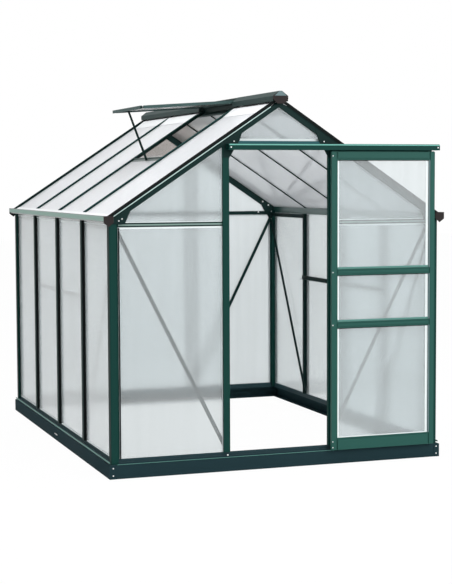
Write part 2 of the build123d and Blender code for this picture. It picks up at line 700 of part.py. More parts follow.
# Braces and rails inside the walls
BRACE_END = POST - 7
BRACE_LOW = SILL_Z + SILL_H + 24
LIP_OFF = (BRACE_W - PLATE) / 2
with BuildPart() as wall_braces:
    for ny in (-1, 1):
        with BuildSketch(Plane.XZ.offset(-ny * (WY - DEPTH - FIT))):
            for side in (-1, 1):
                add(strip_bar((side * (WX - BRACE_END), GABLE_BRACE_Z),
                              (side * DOOR_POST_X, BRACE_LOW), BRACE_W))
        extrude(amount=ny * PLATE)
    for side in (-1, 1):
        for across, width, deep in ((0, BRACE_W, PLATE), (LIP_OFF, PLATE, BRACE_LIP)):
            with BuildSketch(Plane.YZ.offset(side * (WX - DEPTH - FIT))):
                for ny in (-1, 1):
                    add(strip_bar((ny * (WY - BRACE_END), SIDE_BRACE_Z),
                                  (ny * (BAR_Y[-1] - BRACE_PAST), BRACE_LOW), width,
                                  ny * across))
            extrude(amount=-side * deep)
wall_braces.part.label = "wall_braces"
export_step(wall_braces.part, "parts/wall_braces.step")

RAIL_END = WY - DEPTH - PLATE - 2 * FIT
with BuildPart() as side_rails:
    for side in (-1, 1):
        face = side * (WX - DEPTH - FIT)
        for y0, y1, z0 in ((BAR_Y[0] - BAR_W / 2, BAR_Y[-1] + BAR_W / 2, RAIL_Z),
                           (BAR_Y[-1] - BAR_W / 2, RAIL_END, UPPER_RAIL_Z),
                           (-RAIL_END, BAR_Y[0] + BAR_W / 2, UPPER_RAIL_Z)):
            with BuildSketch(Plane.XZ.offset(-y0)):
                with Locations((face, z0)):
                    Rectangle(PLATE, RAIL_H,
                              align=(Align.MAX if side > 0 else Align.MIN, Align.MIN))
                    Rectangle(RAIL_H * 0.8, PLATE,
                              align=(Align.MAX if side > 0 else Align.MIN, Align.MIN))
            extrude(amount=y0 - y1)
side_rails.part.label = "side_rails"
export_step(side_rails.part, "parts/side_rails.step")

# Wall panes
EDGE = NECK / 2 + 2.5
SIDE_EDGES = [POST + 1.5 - WY]
for y in BAR_Y:
    SIDE_EDGES += [y - EDGE, y + EDGE]
SIDE_EDGES += [WY - POST - 1.5]
for label, side in (("wall_panes_left", -1), ("wall_panes_right", 1)):
    with BuildPart() as panes:
        with BuildSketch(Plane.YZ.offset(side * (WX - PANE_D))):
            for y0, y1 in zip(SIDE_EDGES[0::2], SIDE_EDGES[1::2]):
                with Locations((y0, PANE_Z0)):
                    Rectangle(y1 - y0, PANE_TOP - PANE_Z0, align=(Align.MIN, Align.MIN))
        extrude(amount=-side * SHEET)
    panes.part.label = label
    export_step(panes.part, "parts/" + label + ".step")

PANE_UP = RAFTER_WEB + WALL + 8
LOW_TOP = CROSS_LOW + CROSS_H / 2 - WALL / 2 - FIT
UP_LOW = CROSS_LOW + CROSS_H / 2 + WALL / 2 + FIT
PANE_A = DOOR_POST_X + EDGE
PANE_B = WX - POST - 1.5
PANE_C = DOOR_POST_X - EDGE
HEAD_PANE = HEADER_LOW + HEAD_WEB + WALL + FIT
for label, ny, centre in (("front_panes", -1, HEAD_PANE), ("rear_panes", 1, UP_LOW)):
    with BuildPart() as panes:
        with BuildSketch(Plane.XZ.offset(-ny * (WY - PANE_D))):
            for side in (-1, 1):
                with BuildLine():
                    Polyline((side * PANE_A, PANE_Z0), (side * PANE_B, PANE_Z0),
                             (side * PANE_B, LOW_TOP), (side * PANE_A, LOW_TOP), close=True)
                make_face()
                with BuildLine():
                    Polyline((side * PANE_A, UP_LOW), (side * PANE_B, UP_LOW),
                             (side * PANE_B, roof_z(PANE_B, PANE_UP)),
                             (side * PANE_A, roof_z(PANE_A, PANE_UP)), close=True)
                make_face()
            with BuildLine():
                Polyline((-PANE_C, centre), (PANE_C, centre), (PANE_C, roof_z(PANE_C, PANE_UP)),
                         (0, roof_z(0, PANE_UP)), (-PANE_C, roof_z(PANE_C, PANE_UP)), close=True)
            make_face()
            if ny > 0:
                with Locations((0, PANE_Z0)):
                    Rectangle(2 * PANE_C, LOW_TOP - PANE_Z0, align=(Align.CENTER, Align.MIN))
        extrude(amount=ny * SHEET)
    panes.part.label = label
    export_step(panes.part, "parts/" + label + ".step")

# Roof panes
ROOF_EDGES = [RAFTER_STEP + 3 - WY] + SIDE_EDGES[1:-1] + [WY - RAFTER_STEP - 3]
for label, side in (("roof_panes_left", -1), ("roof_panes_right", 1)):
    with BuildPart() as panes:
        for i in range(BAYS):
            y0 = ROOF_EDGES[2 * i]
            y1 = ROOF_EDGES[2 * i + 1]
            with BuildSketch() as sheet:
                with Locations((0, -ROOF_PROUD - FIT)):
                    Rectangle(y1 - y0, SHEET, align=(Align.CENTER, Align.MAX))
            x_in = SILL_X - VENT_SILL_IN if side < 0 and i == VENT_BAY else PANE_RIDGE
            add(slope_piece(sheet.sketch, side, [(y0 + y1) / 2], x_in, EAVE_X))
    panes.part.label = label
    export_step(panes.part, "parts/" + label + ".step")

# Track of the sliding door
DOOR_BACK = WY + DOOR_GAP
DOOR_MID = DOOR_BACK + DOOR_T / 2
TRACK_BACK = WY + 2 * FIT + PLATE
BEVEL_IN = TRACK_BEVEL + 0.4 * WALL
with BuildPart() as door_track:
    with BuildSketch(wall_plane(0, -1, TRACK_BACK, TRACK_Z, TRACK_X0)) as channel:
        Rectangle(TRACK_H, TRACK_D, align=(Align.MIN, Align.MIN))
        chamfer(channel.vertices().sort_by(SortBy.DISTANCE)[-1:], TRACK_BEVEL)
        with BuildLine():
            Polyline((WALL, WALL), (WALL, TRACK_D - WALL), (TRACK_H - BEVEL_IN, TRACK_D - WALL),
                     (TRACK_H - WALL, TRACK_D - BEVEL_IN), (TRACK_H - WALL, WALL), close=True)
        make_face(mode=Mode.SUBTRACT)
        with Locations((0, DOOR_MID - TRACK_BACK)):
            Rectangle(WALL, TRACK_SLOT, align=(Align.MIN, Align.CENTER), mode=Mode.SUBTRACT)
    extrude(amount=TRACK_X1 - TRACK_X0)
door_track.part.label = "door_track"
export_step(door_track.part, "parts/door_track.step")

# Sliding door, drawn pushed open
DOOR_LEFT = DOOR_TRAVEL - DOOR_W / 2
DOOR_RIGHT = DOOR_LEFT + DOOR_W
STILE_TUBE = STILE_W - DOOR_LIP
with BuildPart() as door_stiles:
    with BuildSketch(Plane.XY.offset(DOOR_LOW)):
        with Locations(Location((DOOR_LEFT, -DOOR_BACK), 0),
                       Location((DOOR_RIGHT, -DOOR_BACK - DOOR_T), 180)):
            add(edge_section(STILE_TUBE, DOOR_T, DOOR_LIP))
    extrude(amount=DOOR_TOP - DOOR_LOW)
door_stiles.part.label = "door_stiles"
export_step(door_stiles.part, "parts/door_stiles.step")

RAIL_X0 = DOOR_LEFT + STILE_W + FIT
RAIL_LEN = DOOR_W - 2 * STILE_W - 2 * FIT
MID_RAILS = [MID_RAIL_Z1, MID_RAIL_Z2]
with BuildPart() as door_rails:
    with BuildSketch(wall_plane(0, -1, DOOR_BACK + DOOR_T, 0, RAIL_X0)):
        with Locations((DOOR_LOW, 0)):
            add(edge_section(RAIL_BOTTOM - DOOR_LIP, DOOR_T, DOOR_LIP))
        with Locations(Location((DOOR_TOP, -DOOR_T), 180)):
            add(edge_section(RAIL_TOP - DOOR_LIP, DOOR_T, DOOR_LIP))
        for z in MID_RAILS:
            with Locations((z + DOOR_LIP, 0)):
                add(edge_section(RAIL_MID - 2 * DOOR_LIP, DOOR_T, DOOR_LIP))
            with Locations(Location((z + RAIL_MID - DOOR_LIP, -DOOR_T), 180)):
                add(edge_section(RAIL_MID - 2 * DOOR_LIP, DOOR_T, DOOR_LIP))
    extrude(amount=RAIL_LEN)
door_rails.part.label = "door_rails"
export_step(door_rails.part, "parts/door_rails.step")

PANE_IN = DOOR_LIP - 2.0
with BuildPart() as door_panes:
    with BuildSketch(Plane.XZ.offset(DOOR_MID - SHEET / 2)):
        for z0, z1 in ((DOOR_LOW + RAIL_BOTTOM, MID_RAIL_Z1),
                       (MID_RAIL_Z1 + RAIL_MID, MID_RAIL_Z2),
                       (MID_RAIL_Z2 + RAIL_MID, DOOR_TOP - RAIL_TOP)):
            with Locations((DOOR_LEFT + DOOR_W / 2, z0 - PANE_IN)):
                Rectangle(DOOR_W - 2 * STILE_W + 2 * PANE_IN, z1 - z0 + 2 * PANE_IN,
                          align=(Align.CENTER, Align.MIN))
    extrude(amount=SHEET)
door_panes.part.label = "door_panes"
export_step(door_panes.part, "parts/door_panes.step")

HANGER_X = [DOOR_LEFT + HANGER_IN, DOOR_RIGHT - HANGER_IN]
WHEEL_Z = TRACK_Z + WALL + FIT + WHEEL_R
WHEEL_Y = -(DOOR_MID - TRACK_SLOT / 2 - 4 - WHEEL_T / 2)
with BuildPart() as door_hangers:
    for x in HANGER_X:
        with Locations((x, -DOOR_MID, DOOR_TOP + FIT)):
            Box(2 * HANGER_W, DOOR_T - 2, PLATE,
                align=(Align.CENTER, Align.CENTER, Align.MIN))
            Box(HANGER_W, PLATE, WHEEL_Z + AXLE_R + 4 - DOOR_TOP - FIT,
                align=(Align.CENTER, Align.CENTER, Align.MIN))
        with BuildSketch(Plane.XZ.offset(DOOR_MID)):
            with Locations((x, WHEEL_Z)):
                Circle(AXLE_R)
        extrude(amount=WHEEL_Y - WHEEL_T / 2 + DOOR_MID - 4 + 10, dir=(0, 1, 0))
door_hangers.part.label = "door_hangers"
export_step(door_hangers.part, "parts/door_hangers.step")

with BuildPart() as door_rollers:
    with BuildSketch(Plane.XZ.offset(-WHEEL_Y - WHEEL_T / 2)):
        with Locations(*[(x, WHEEL_Z) for x in HANGER_X]):
            Circle(WHEEL_R)
            Circle(AXLE_R + FIT, mode=Mode.SUBTRACT)
    extrude(amount=WHEEL_T)
door_rollers.part.label = "door_rollers"
export_step(door_rollers.part, "parts/door_rollers.step")

# Window in the left roof slope, propped open
VCOS = cos(radians(VENT_DROP))
STAY_TOP_X = VENT_HINGE_X + VENT_LEN * VCOS - STAY_TOP_IN
STAY_LOW_X = SILL_X + STAY_LOW_OUT
VTAN = tan(radians(VENT_DROP))


def vent_plane(along, across, direction):
    origin = (-VENT_HINGE_X - along * VCOS, VENT_Y + across, VENT_HINGE_Z - along * VTAN * VCOS)
    if direction == "across":
        return Plane(origin=origin, x_dir=(-VCOS, 0, -VTAN * VCOS), z_dir=(0, 1, 0))
    return Plane(origin=origin, x_dir=(0, -1, 0), z_dir=(-VCOS, 0, -VTAN * VCOS))


VENT_IN = BAY / 2 - BAR_W / 2 - 1.5
VENT_BAR = VENT_TUBE + VENT_LIP
with BuildPart() as vent_frame:
    with BuildSketch(vent_plane(0, 0, "across")):
        add(edge_section(VENT_TUBE, VENT_H, VENT_LIP))
    extrude(amount=VENT_IN, both=True)
    with BuildSketch(vent_plane(VENT_LEN, 0, "across")):
        with Locations(Location((0, -VENT_H), 180)):
            add(edge_section(VENT_TUBE, VENT_H, VENT_LIP))
    extrude(amount=VENT_HALF, both=True)
    with BuildSketch(vent_plane(VENT_BAR + FIT, 0, "along")):
        with Locations(Location((-VENT_HALF, 0), 0), Location((VENT_HALF, -VENT_H), 180)):
            add(edge_section(VENT_TUBE, VENT_H, VENT_LIP))
    extrude(amount=VENT_LEN - 2 * VENT_BAR - 2 * FIT)
vent_frame.part.label = "vent_frame"
export_step(vent_frame.part, "parts/vent_frame.step")

with BuildPart() as vent_pane:
    with BuildSketch(vent_plane(VENT_TUBE + 1.5, 0, "along")):
        with Locations((0, -VENT_H / 2)):
            Rectangle(2 * (VENT_HALF - VENT_TUBE - 1.5), SHEET)
    extrude(amount=VENT_LEN - 2 * VENT_TUBE - 3)
vent_pane.part.label = "vent_pane"
export_step(vent_pane.part, "parts/vent_pane.step")

with BuildPart() as vent_sill:
    with BuildSketch(Plane(origin=(-SILL_X, VENT_Y, roof_z(SILL_X, 0)),
                           x_dir=(-COSR, 0, -SLOPE * COSR), z_dir=(0, 1, 0))):
        with Locations((0, -6)):
            Rectangle(WALL, ROOF_INNER + WALL - 6, align=(Align.MIN, Align.MAX))
        for d in (ROOF_PROUD - WALL, ROOF_INNER):
            with Locations((0, -d)):
                Rectangle(24, WALL, align=(Align.MIN, Align.MAX))
    extrude(amount=BAY / 2 - ROOF_BAR_W / 2 - FIT, both=True)
vent_sill.part.label = "vent_sill"
export_step(vent_sill.part, "parts/vent_sill.step")


def vent_under(x):
    return VENT_HINGE_Z - (x - VENT_HINGE_X) * VTAN - VENT_H / VCOS - FIT


def sill_over(x):
    return roof_z(x, ROOF_PROUD - WALL) + FIT


with BuildPart() as vent_stay:
    with BuildSketch(Plane.XZ.offset(-VENT_Y)):
        with BuildLine():
            Polyline((-STAY_TOP_X - STAY_W / 2, vent_under(STAY_TOP_X + STAY_W / 2)),
                     (-STAY_TOP_X + STAY_W / 2, vent_under(STAY_TOP_X - STAY_W / 2)),
                     (-STAY_LOW_X + STAY_W / 2, sill_over(STAY_LOW_X - STAY_W / 2)),
                     (-STAY_LOW_X - STAY_W / 2, sill_over(STAY_LOW_X + STAY_W / 2)),
                     close=True)
        make_face()
    extrude(amount=STAY_T / 2, both=True)
vent_stay.part.label = "vent_stay"
export_step(vent_stay.part, "parts/vent_stay.step")
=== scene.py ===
import math

import bpy
from bpy.props import FloatProperty, FloatVectorProperty, PointerProperty
from mathutils import Matrix, Vector


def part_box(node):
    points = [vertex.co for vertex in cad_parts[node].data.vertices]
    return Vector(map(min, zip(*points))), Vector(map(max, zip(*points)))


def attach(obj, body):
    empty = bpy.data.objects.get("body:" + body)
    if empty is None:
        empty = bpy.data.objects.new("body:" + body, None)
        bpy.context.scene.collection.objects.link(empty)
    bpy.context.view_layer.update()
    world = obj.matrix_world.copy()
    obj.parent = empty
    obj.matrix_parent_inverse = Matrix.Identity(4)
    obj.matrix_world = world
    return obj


bl_info = {
    "name": "Walk-in Greenhouse",
    "version": (1, 0, 0),
    "blender": (4, 5, 0),
    "location": "View3D > Sidebar > Greenhouse",
    "description": "Finishes, seals and fixings for a small sliding-door greenhouse",
    "category": "Object",
}

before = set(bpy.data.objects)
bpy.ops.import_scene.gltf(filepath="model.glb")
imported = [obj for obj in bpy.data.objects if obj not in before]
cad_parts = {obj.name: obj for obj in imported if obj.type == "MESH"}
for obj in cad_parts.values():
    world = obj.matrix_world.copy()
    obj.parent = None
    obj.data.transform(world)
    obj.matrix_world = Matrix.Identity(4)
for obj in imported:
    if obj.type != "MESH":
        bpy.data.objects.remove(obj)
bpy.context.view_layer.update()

# Places read from the frame, in metres
WALL_X, WALL_Y, POST_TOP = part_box("corner_posts")[1]
SILL_LOW, SILL_TOP = (c.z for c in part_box("sill_left"))
BAR_LOW, BAR_HIGH = (c.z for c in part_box("side_bars_left"))
CROSS_LOW, CROSS_TOP = (c.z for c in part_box("front_crossbars"))
HEAD_LOW, HEAD_TOP = (c.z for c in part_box("door_header"))
DOOR_LOW, DOOR_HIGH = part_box("door_stiles")
TRACK_LOW, TRACK_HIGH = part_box("door_track")

# Sizes of the frame's own sections, which its boxes don't tell
BAR_W = 0.036           # width of the glazing bars, the studs and the door's stiles
POST_W = 0.048          # width of the corner posts
PANE_FACE = 0.0153      # depth of the wall sheets under the posts' faces
ROOF_FACE = 0.0145      # depth of the roof sheets under the roof's outer face
RAFTER_DEEP = 0.0476    # depth of the rafters, square to the slope
EAVE_Z = 1.3712         # height of the roof's outer face straight above the walls' faces
ROOF_ANGLE = math.radians(33.4)
SLOPE = math.tan(ROOF_ANGLE)
RIDGE_Z = EAVE_Z + SLOPE * WALL_X
STUD_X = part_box("door_posts")[1].x - BAR_W / 2
BAR_Y = (-WALL_Y / 2, 0.0, WALL_Y / 2)

# The door's rails: the heights of their sections, and where the two middle ones start
FOOT_RAIL, MIDDLE_RAIL, TOP_RAIL = 0.066, 0.034, 0.044
DOOR_SPAN = DOOR_HIGH.z - DOOR_LOW.z
MIDDLE_RAILS = [DOOR_LOW.z + share * DOOR_SPAN for share in (0.4115, 0.5885)]

FIT = 0.0002            # clearance of an added piece from the face behind it
HAIR = 0.0001           # the same where a piece lies on a bare face
BAND_THICK = 0.0008     # thickness of the bright bands on the sheets
SEAL_REACH = (SILL_TOP + 0.001, POST_TOP - 0.016)   # ends of the side walls' seals

# The walls, with the side of the middle where they stand: -1 is the left or the front
SIDES = (("left", -1), ("right", 1))
GABLES = (("front", -1), ("rear", 1))


def roof_z(x, deep):
    """Height of the roof's outer face at x, less a depth measured square to the slope."""
    return RIDGE_Z - SLOPE * abs(x) - deep / math.cos(ROOF_ANGLE)


def roof_normal(side):
    """Outward direction of one slope: -1 is the left one, 1 the right one."""
    return Vector((side * math.sin(ROOF_ANGLE), 0, math.cos(ROOF_ANGLE)))


class GreenhouseColours(bpy.types.PropertyGroup):
    """Colours of the greenhouse's finishes."""

    frame_green: FloatVectorProperty(
        name="Frame green", description="Glossy powder coat of the gutters and the window sill",
        subtype="COLOR", size=4, min=0, max=1, default=(0.0095, 0.056, 0.046, 1))
    door_green: FloatVectorProperty(
        name="Door green", description="Powder coat of the sliding door's frame",
        subtype="COLOR", size=4, min=0, max=1, default=(0.0145, 0.078, 0.063, 1))
    post_green: FloatVectorProperty(
        name="Post green", description="Powder coat of the posts and the door track",
        subtype="COLOR", size=4, min=0, max=1, default=(0.0035, 0.038, 0.031, 1))
    ridge_grey: FloatVectorProperty(
        name="Ridge grey", description="Grey-green coat of the ridge cap and window frame",
        subtype="COLOR", size=4, min=0, max=1, default=(0.022, 0.043, 0.041, 1))
    # Painted shade: warm grey on the sheets' inner faces near the ridge, towards the rear
    dust: FloatVectorProperty(
        name="Dust", description="Warm grey dust inside the sheets near the ridge",
        subtype="COLOR", size=4, min=0, max=1, default=(0.50, 0.47, 0.45, 1))
    # Painted reflection: the pale grey-green face of the gutters
    gutter_reflection_colour: FloatVectorProperty(
        name="Gutter green", description="Painted reflection on the gutters' faces",
        subtype="COLOR", size=4, min=0, max=1, default=(0.20, 0.33, 0.28, 1))
    # Painted highlight: the aqua line along the door track's lip
    aqua_highlight: FloatVectorProperty(
        name="Aqua line", description="Painted highlight on the door track's rounded lip",
        subtype="COLOR", size=4, min=0, max=1, default=(0.12, 0.38, 0.32, 1))
    # Painted shade: the frame's same green coat, made darker for the bars, rafters, crossbars,
    # gussets and braces
    painted_shade_green: FloatVectorProperty(
        name="Shade green", description="Frame coat darkened by painted shade for the glazing bars and rafters",
        subtype="COLOR", size=4, min=0, max=1, default=(0.0028, 0.017, 0.0155, 1))
    pale_green: FloatVectorProperty(
        name="Pale green", description="Pale strips in the grooves of the crossbars",
        subtype="COLOR", size=4, min=0, max=1, default=(0.17, 0.26, 0.23, 1))
    base_slate: FloatVectorProperty(
        name="Base slate", description="Coating of the steel base",
        subtype="COLOR", size=4, min=0, max=1, default=(0.015, 0.034, 0.040, 1))
    sheet_tint: FloatVectorProperty(
        name="Sheet tint", description="Milky tint of the twin-wall sheets",
        subtype="COLOR", size=4, min=0, max=1, default=(0.83, 0.875, 0.885, 1))
    # Partly painted highlight: the sheets' sealed edges, made brighter and wider on the side
    # that catches the light
    edge_highlight: FloatVectorProperty(
        name="Sheet edge", description="Sealed edge of the sheets, brightened by a painted highlight",
        subtype="COLOR", size=4, min=0, max=1, default=(0.76, 0.82, 0.82, 1))
    seal_black: FloatVectorProperty(
        name="Seal black", description="Rubber seals",
        subtype="COLOR", size=4, min=0, max=1, default=(0.007, 0.010, 0.010, 1))


class GreenhouseSizes(bpy.types.PropertyGroup):
    """Sizes of the pieces that finish the greenhouse."""

    rib_pitch: FloatProperty(
        name="Rib pitch", description="Distance between the ribs inside the sheets",
        default=0.0058, min=0.003, max=0.03, subtype="DISTANCE", unit="LENGTH")
    sheet_through: FloatProperty(
        name="Sheet clearness", description="Share of the light that passes a sheet's face",
        default=0.83, min=0, max=1, subtype="FACTOR")
    edge_width: FloatProperty(
        name="Edge width", description="Width of the bright sheet edge that shows",
        default=0.009, min=0.002, max=0.03, subtype="DISTANCE", unit="LENGTH")
    seal_depth: FloatProperty(
        name="Seal depth", description="Depth of the rubber seals on the bars' flanks",
        default=0.0125, min=0.003, max=0.015, subtype="DISTANCE", unit="LENGTH")
    softbox_power: FloatProperty(
        name="Softbox power", description="Power of the front softbox",
        default=300, min=0, unit="POWER")
    overhead_power: FloatProperty(
        name="Overhead power", description="Power of the overhead softbox",
        default=185, min=0, unit="POWER")
    daylight: FloatProperty(
        name="Daylight", description="Strength of the plain surrounding light",
        default=0.68, min=0, max=2, subtype="FACTOR")


# Shader helpers


def new_group(name, inputs, outputs):
    """An empty shader group with its sockets, and its two end nodes."""
    tree = bpy.data.node_groups.new(name, "ShaderNodeTree")
    for label, kind, value in inputs:
        socket = tree.interface.new_socket(name=label, in_out="INPUT", socket_type=kind)
        socket.default_value = value
    for label, kind in outputs:
        tree.interface.new_socket(name=label, in_out="OUTPUT", socket_type=kind)
    return tree, tree.nodes.new("NodeGroupInput"), tree.nodes.new("NodeGroupOutput")


def feed(tree, value, socket):
    """Links the socket to another one, or sets it to a plain value."""
    if isinstance(value, bpy.types.NodeSocket):
        tree.links.new(value, socket)
    else:
        socket.default_value = value


def math_node(tree, operation, *values):
    node = tree.nodes.new("ShaderNodeMath")
    node.operation = operation
    for value, socket in zip(values, node.inputs):
        feed(tree, value, socket)
    return node.outputs[0]


def dot_node(tree, first, second):
    node = tree.nodes.new("ShaderNodeVectorMath")
    node.operation = "DOT_PRODUCT"
    tree.links.new(first, node.inputs[0])
    tree.links.new(second, node.inputs[1])
    return node.outputs["Value"]


def ramp(tree, value, low, high):
    """A share that rises evenly from 0 at low to 1 at high."""
    node = tree.nodes.new("ShaderNodeMapRange")
    feed(tree, low, node.inputs["From Min"])
    feed(tree, high, node.inputs["From Max"])
    feed(tree, value, node.inputs["Value"])
    return node.outputs["Result"]


def noise(tree, vector, scale, detail=2.0):
    node = tree.nodes.new("ShaderNodeTexNoise")
    feed(tree, scale, node.inputs["Scale"])
    feed(tree, detail, node.inputs["Detail"])
    tree.links.new(vector, node.inputs["Vector"])
    return node.outputs["Fac"]


def stretched(tree, scale):
    """Object coordinates multiplied by a scale for each axis."""
    coords = tree.nodes.new("ShaderNodeTexCoord")
    mapping = tree.nodes.new("ShaderNodeMapping")
    mapping.inputs["Scale"].default_value = scale
    tree.links.new(coords.outputs["Object"], mapping.inputs["Vector"])
    return mapping.outputs["Vector"]


def mix_colour(tree, factor, first, second):
    """Mixes two colours; a mix node's colour sockets are its inputs 6 and 7."""
    node = tree.nodes.new("ShaderNodeMix")
    node.data_type = "RGBA"
    feed(tree, factor, node.inputs["Factor"])
    feed(tree, first, node.inputs[6])
    feed(tree, second, node.inputs[7])
    return node.outputs[2]


def mix_shaders(tree, share, first, second):
    node = tree.nodes.new("ShaderNodeMixShader")
    tree.links.new(share, node.inputs["Fac"])
    tree.links.new(first, node.inputs[1])
    tree.links.new(second, node.inputs[2])
    return node.outputs["Shader"]


def make_powder_group():
    """Powder coat: fine grain for the height, and slow changes of tone and sheen."""
    tree, start, end = new_group(
        "Powder Coat",
        [("Colour", "NodeSocketColor", (0.05, 0.1, 0.1, 1)),
         ("Faded", "NodeSocketColor", (0.1, 0.2, 0.2, 1)),
         ("Roughness", "NodeSocketFloat", 0.4),
         ("Grain Scale", "NodeSocketFloat", 900.0)],
        [("Colour", "NodeSocketColor"), ("Roughness", "NodeSocketFloat"),
         ("Height", "NodeSocketFloat")])
    slow = noise(tree, stretched(tree, (1, 1, 1)), 3.0, 4.0)
    patch = math_node(tree, "MULTIPLY", slow, 0.35)
    colour = mix_colour(tree, patch, start.outputs["Colour"], start.outputs["Faded"])
    coords = tree.nodes.new("ShaderNodeTexCoord")
    grain = noise(tree, coords.outputs["Object"], start.outputs["Grain Scale"])
    rough = math_node(tree, "MULTIPLY_ADD", slow, 0.12, start.outputs["Roughness"])
    tree.links.new(colour, end.inputs["Colour"])
    tree.links.new(rough, end.inputs["Roughness"])
    tree.links.new(grain, end.inputs["Height"])


def make_rib_group():
    """Ribs inside a twin-wall sheet, with slow streaks, and painted shade on its inner face up
    high.
    """
    tree, start, end = new_group(
        "Twin Wall Ribs",
        [("Colour", "NodeSocketColor", (0.7, 0.8, 0.8, 1)),
         ("Shade", "NodeSocketColor", (0.6, 0.7, 0.7, 1)),
         ("Dust", "NodeSocketColor", (0.5, 0.5, 0.5, 1)),
         ("Across", "NodeSocketVector", (1, 0, 0)),
         ("Inward", "NodeSocketVector", (0, 0, 0)),
         ("Dust Height", "NodeSocketFloat", 1.735),
         ("Haze", "NodeSocketFloat", 0.0),
         ("Turns", "NodeSocketFloat", 1000.0)],
        [("Colour", "NodeSocketColor"), ("Height", "NodeSocketFloat"),
         ("Roughness", "NodeSocketFloat")])
    given = start.outputs
    coords = tree.nodes.new("ShaderNodeTexCoord")
    across = dot_node(tree, coords.outputs["Object"], given["Across"])
    wave = math_node(tree, "SINE", math_node(tree, "MULTIPLY", across, given["Turns"]))
    height = math_node(tree, "MULTIPLY_ADD", wave, 0.5, 0.5)
    streak = noise(tree, stretched(tree, (30, 30, 1.2)), 1.0, 3.0)
    cloud = noise(tree, stretched(tree, (1, 1, 1)), 1.6, 2.0)
    shade = math_node(tree, "MULTIPLY_ADD", height, 0.35,
                      math_node(tree, "MULTIPLY", streak, 0.7))
    shade = math_node(tree, "MULTIPLY_ADD", cloud, 0.3, shade)
    colour = mix_colour(tree, shade, given["Colour"], given["Shade"])
    # Painted shade: inward faces turn warm grey above the shade height and towards the rear
    inside = dot_node(tree, coords.outputs["Normal"], given["Inward"])
    places = tree.nodes.new("ShaderNodeSeparateXYZ")
    tree.links.new(coords.outputs["Object"], places.inputs[0])
    rise = ramp(tree, places.outputs["Z"], given["Dust Height"],
                math_node(tree, "ADD", given["Dust Height"], 0.05))
    back = ramp(tree, places.outputs["Y"], -0.15, 0.25)
    shaded_share = math_node(tree, "MULTIPLY", math_node(tree, "MAXIMUM", inside, 0.0),
                      math_node(tree, "MULTIPLY", rise, back))
    colour = mix_colour(tree, shaded_share, colour, given["Dust"])
    rough = math_node(tree, "MULTIPLY_ADD", streak, 0.04, 0.03)
    rough = math_node(tree, "ADD", rough, given["Haze"])
    tree.links.new(colour, end.inputs["Colour"])
    tree.links.new(height, end.inputs["Height"])
    tree.links.new(rough, end.inputs["Roughness"])


def scaled(colour, factor):
    return tuple(min(1.0, c * factor) for c in colour[:3]) + (1.0,)


def group_material(name, group, values, lift, distance):
    """A node material whose colour, roughness and bump come from a shader group."""
    material = bpy.data.materials.new(name)
    material.use_nodes = True
    tree = material.node_tree
    shader = tree.nodes["Principled BSDF"]
    bump = tree.nodes.new("ShaderNodeBump")
    bump.inputs["Strength"].default_value = lift
    bump.inputs["Distance"].default_value = distance
    node = tree.nodes.new("ShaderNodeGroup")
    node.node_tree = bpy.data.node_groups[group]
    for label, value in values.items():
        node.inputs[label].default_value = value
    for label, socket in (("Colour", shader.inputs["Base Color"]),
                          ("Roughness", shader.inputs["Roughness"]),
                          ("Height", bump.inputs["Height"])):
        tree.links.new(node.outputs[label], socket)
    tree.links.new(bump.outputs["Normal"], shader.inputs["Normal"])
    return tree, shader


def powder_material(name, colour, faded, roughness, specular, coat=0.0, metallic=0.0,
                    grain=900.0, lift=0.15):
    tree, shader = group_material(
        name, "Powder Coat",
        {"Colour": colour, "Faded": faded, "Roughness": roughness, "Grain Scale": grain},
        lift, 0.0003)
    for label, value in (("Specular IOR Level", specular), ("Metallic", metallic),
                         ("Coat Weight", coat), ("Coat Roughness", 0.25)):
        shader.inputs[label].default_value = value


def sheet_material(name, tint, across, pitch, through, lift=0.35, passing=0.8,
                   dust=(0.5, 0.5, 0.5, 1), inward=(0, 0, 0), dust_height=1.735,
                   haze=0.0, gloss=0.5):
    """A ribbed sheet; passing is the share of the lamps' light that it lets by."""
    tree, shader = group_material(
        name, "Twin Wall Ribs",
        {"Colour": tint, "Shade": scaled(tint, 0.86), "Dust": dust, "Inward": inward,
         "Dust Height": dust_height, "Haze": haze, "Across": across,
         "Turns": 2 * math.pi / pitch},
        lift, 0.0002)
    for label, value in (("IOR", 1.4), ("Specular IOR Level", gloss),
                         ("Transmission Weight", through)):
        shader.inputs[label].default_value = value
    clear = tree.nodes.new("ShaderNodeBsdfTransparent")
    path = tree.nodes.new("ShaderNodeLightPath")
    share = math_node(tree, "MULTIPLY", path.outputs["Is Shadow Ray"], passing)
    tree.links.new(mix_shaders(tree, share, shader.outputs["BSDF"], clear.outputs["BSDF"]),
                   tree.nodes["Material Output"].inputs["Surface"])


MATERIAL_NODES = {
    "header_coat": ("door_header",),
    "green_gloss": ("vent_sill",),
    "green_door": ("door_stiles", "door_rails"),
    "green_post": ("corner_posts", "door_posts", "door_track", "door_hangers"),
    "green_shade": ("side_bars_left", "side_bars_right", "rear_studs", "wall_braces",
                    "side_rails", "vent_stay", "front_rafters", "rear_rafters",
                    "front_crossbars", "rear_crossbars", "front_gussets", "rear_gussets",
                    "roof_bars_left", "roof_bars_right"),
    "green_sheen": ("gutter_left", "gutter_right"),
    "ridge_coat": ("ridge_beam",),
    "window_coat": ("vent_frame",),
    "slate_sill": ("sill_front", "sill_rear", "sill_left", "sill_right"),
    "slate_steel": ("base_front", "base_rear", "base_left", "base_right", "base_brackets"),
    "sheet_wall": ("wall_panes_left",),
    "sheet_wall_right": ("wall_panes_right",),
    "sheet_roof": ("roof_panes_left",),
    "sheet_roof_right": ("roof_panes_right",),
    "sheet_window": ("vent_pane",),
    "sheet_gable": ("front_panes",),
    "sheet_door": ("door_panes",),
    "sheet_rear": ("rear_panes",),
    "black_cap": ("end_caps", "door_rollers"),
}

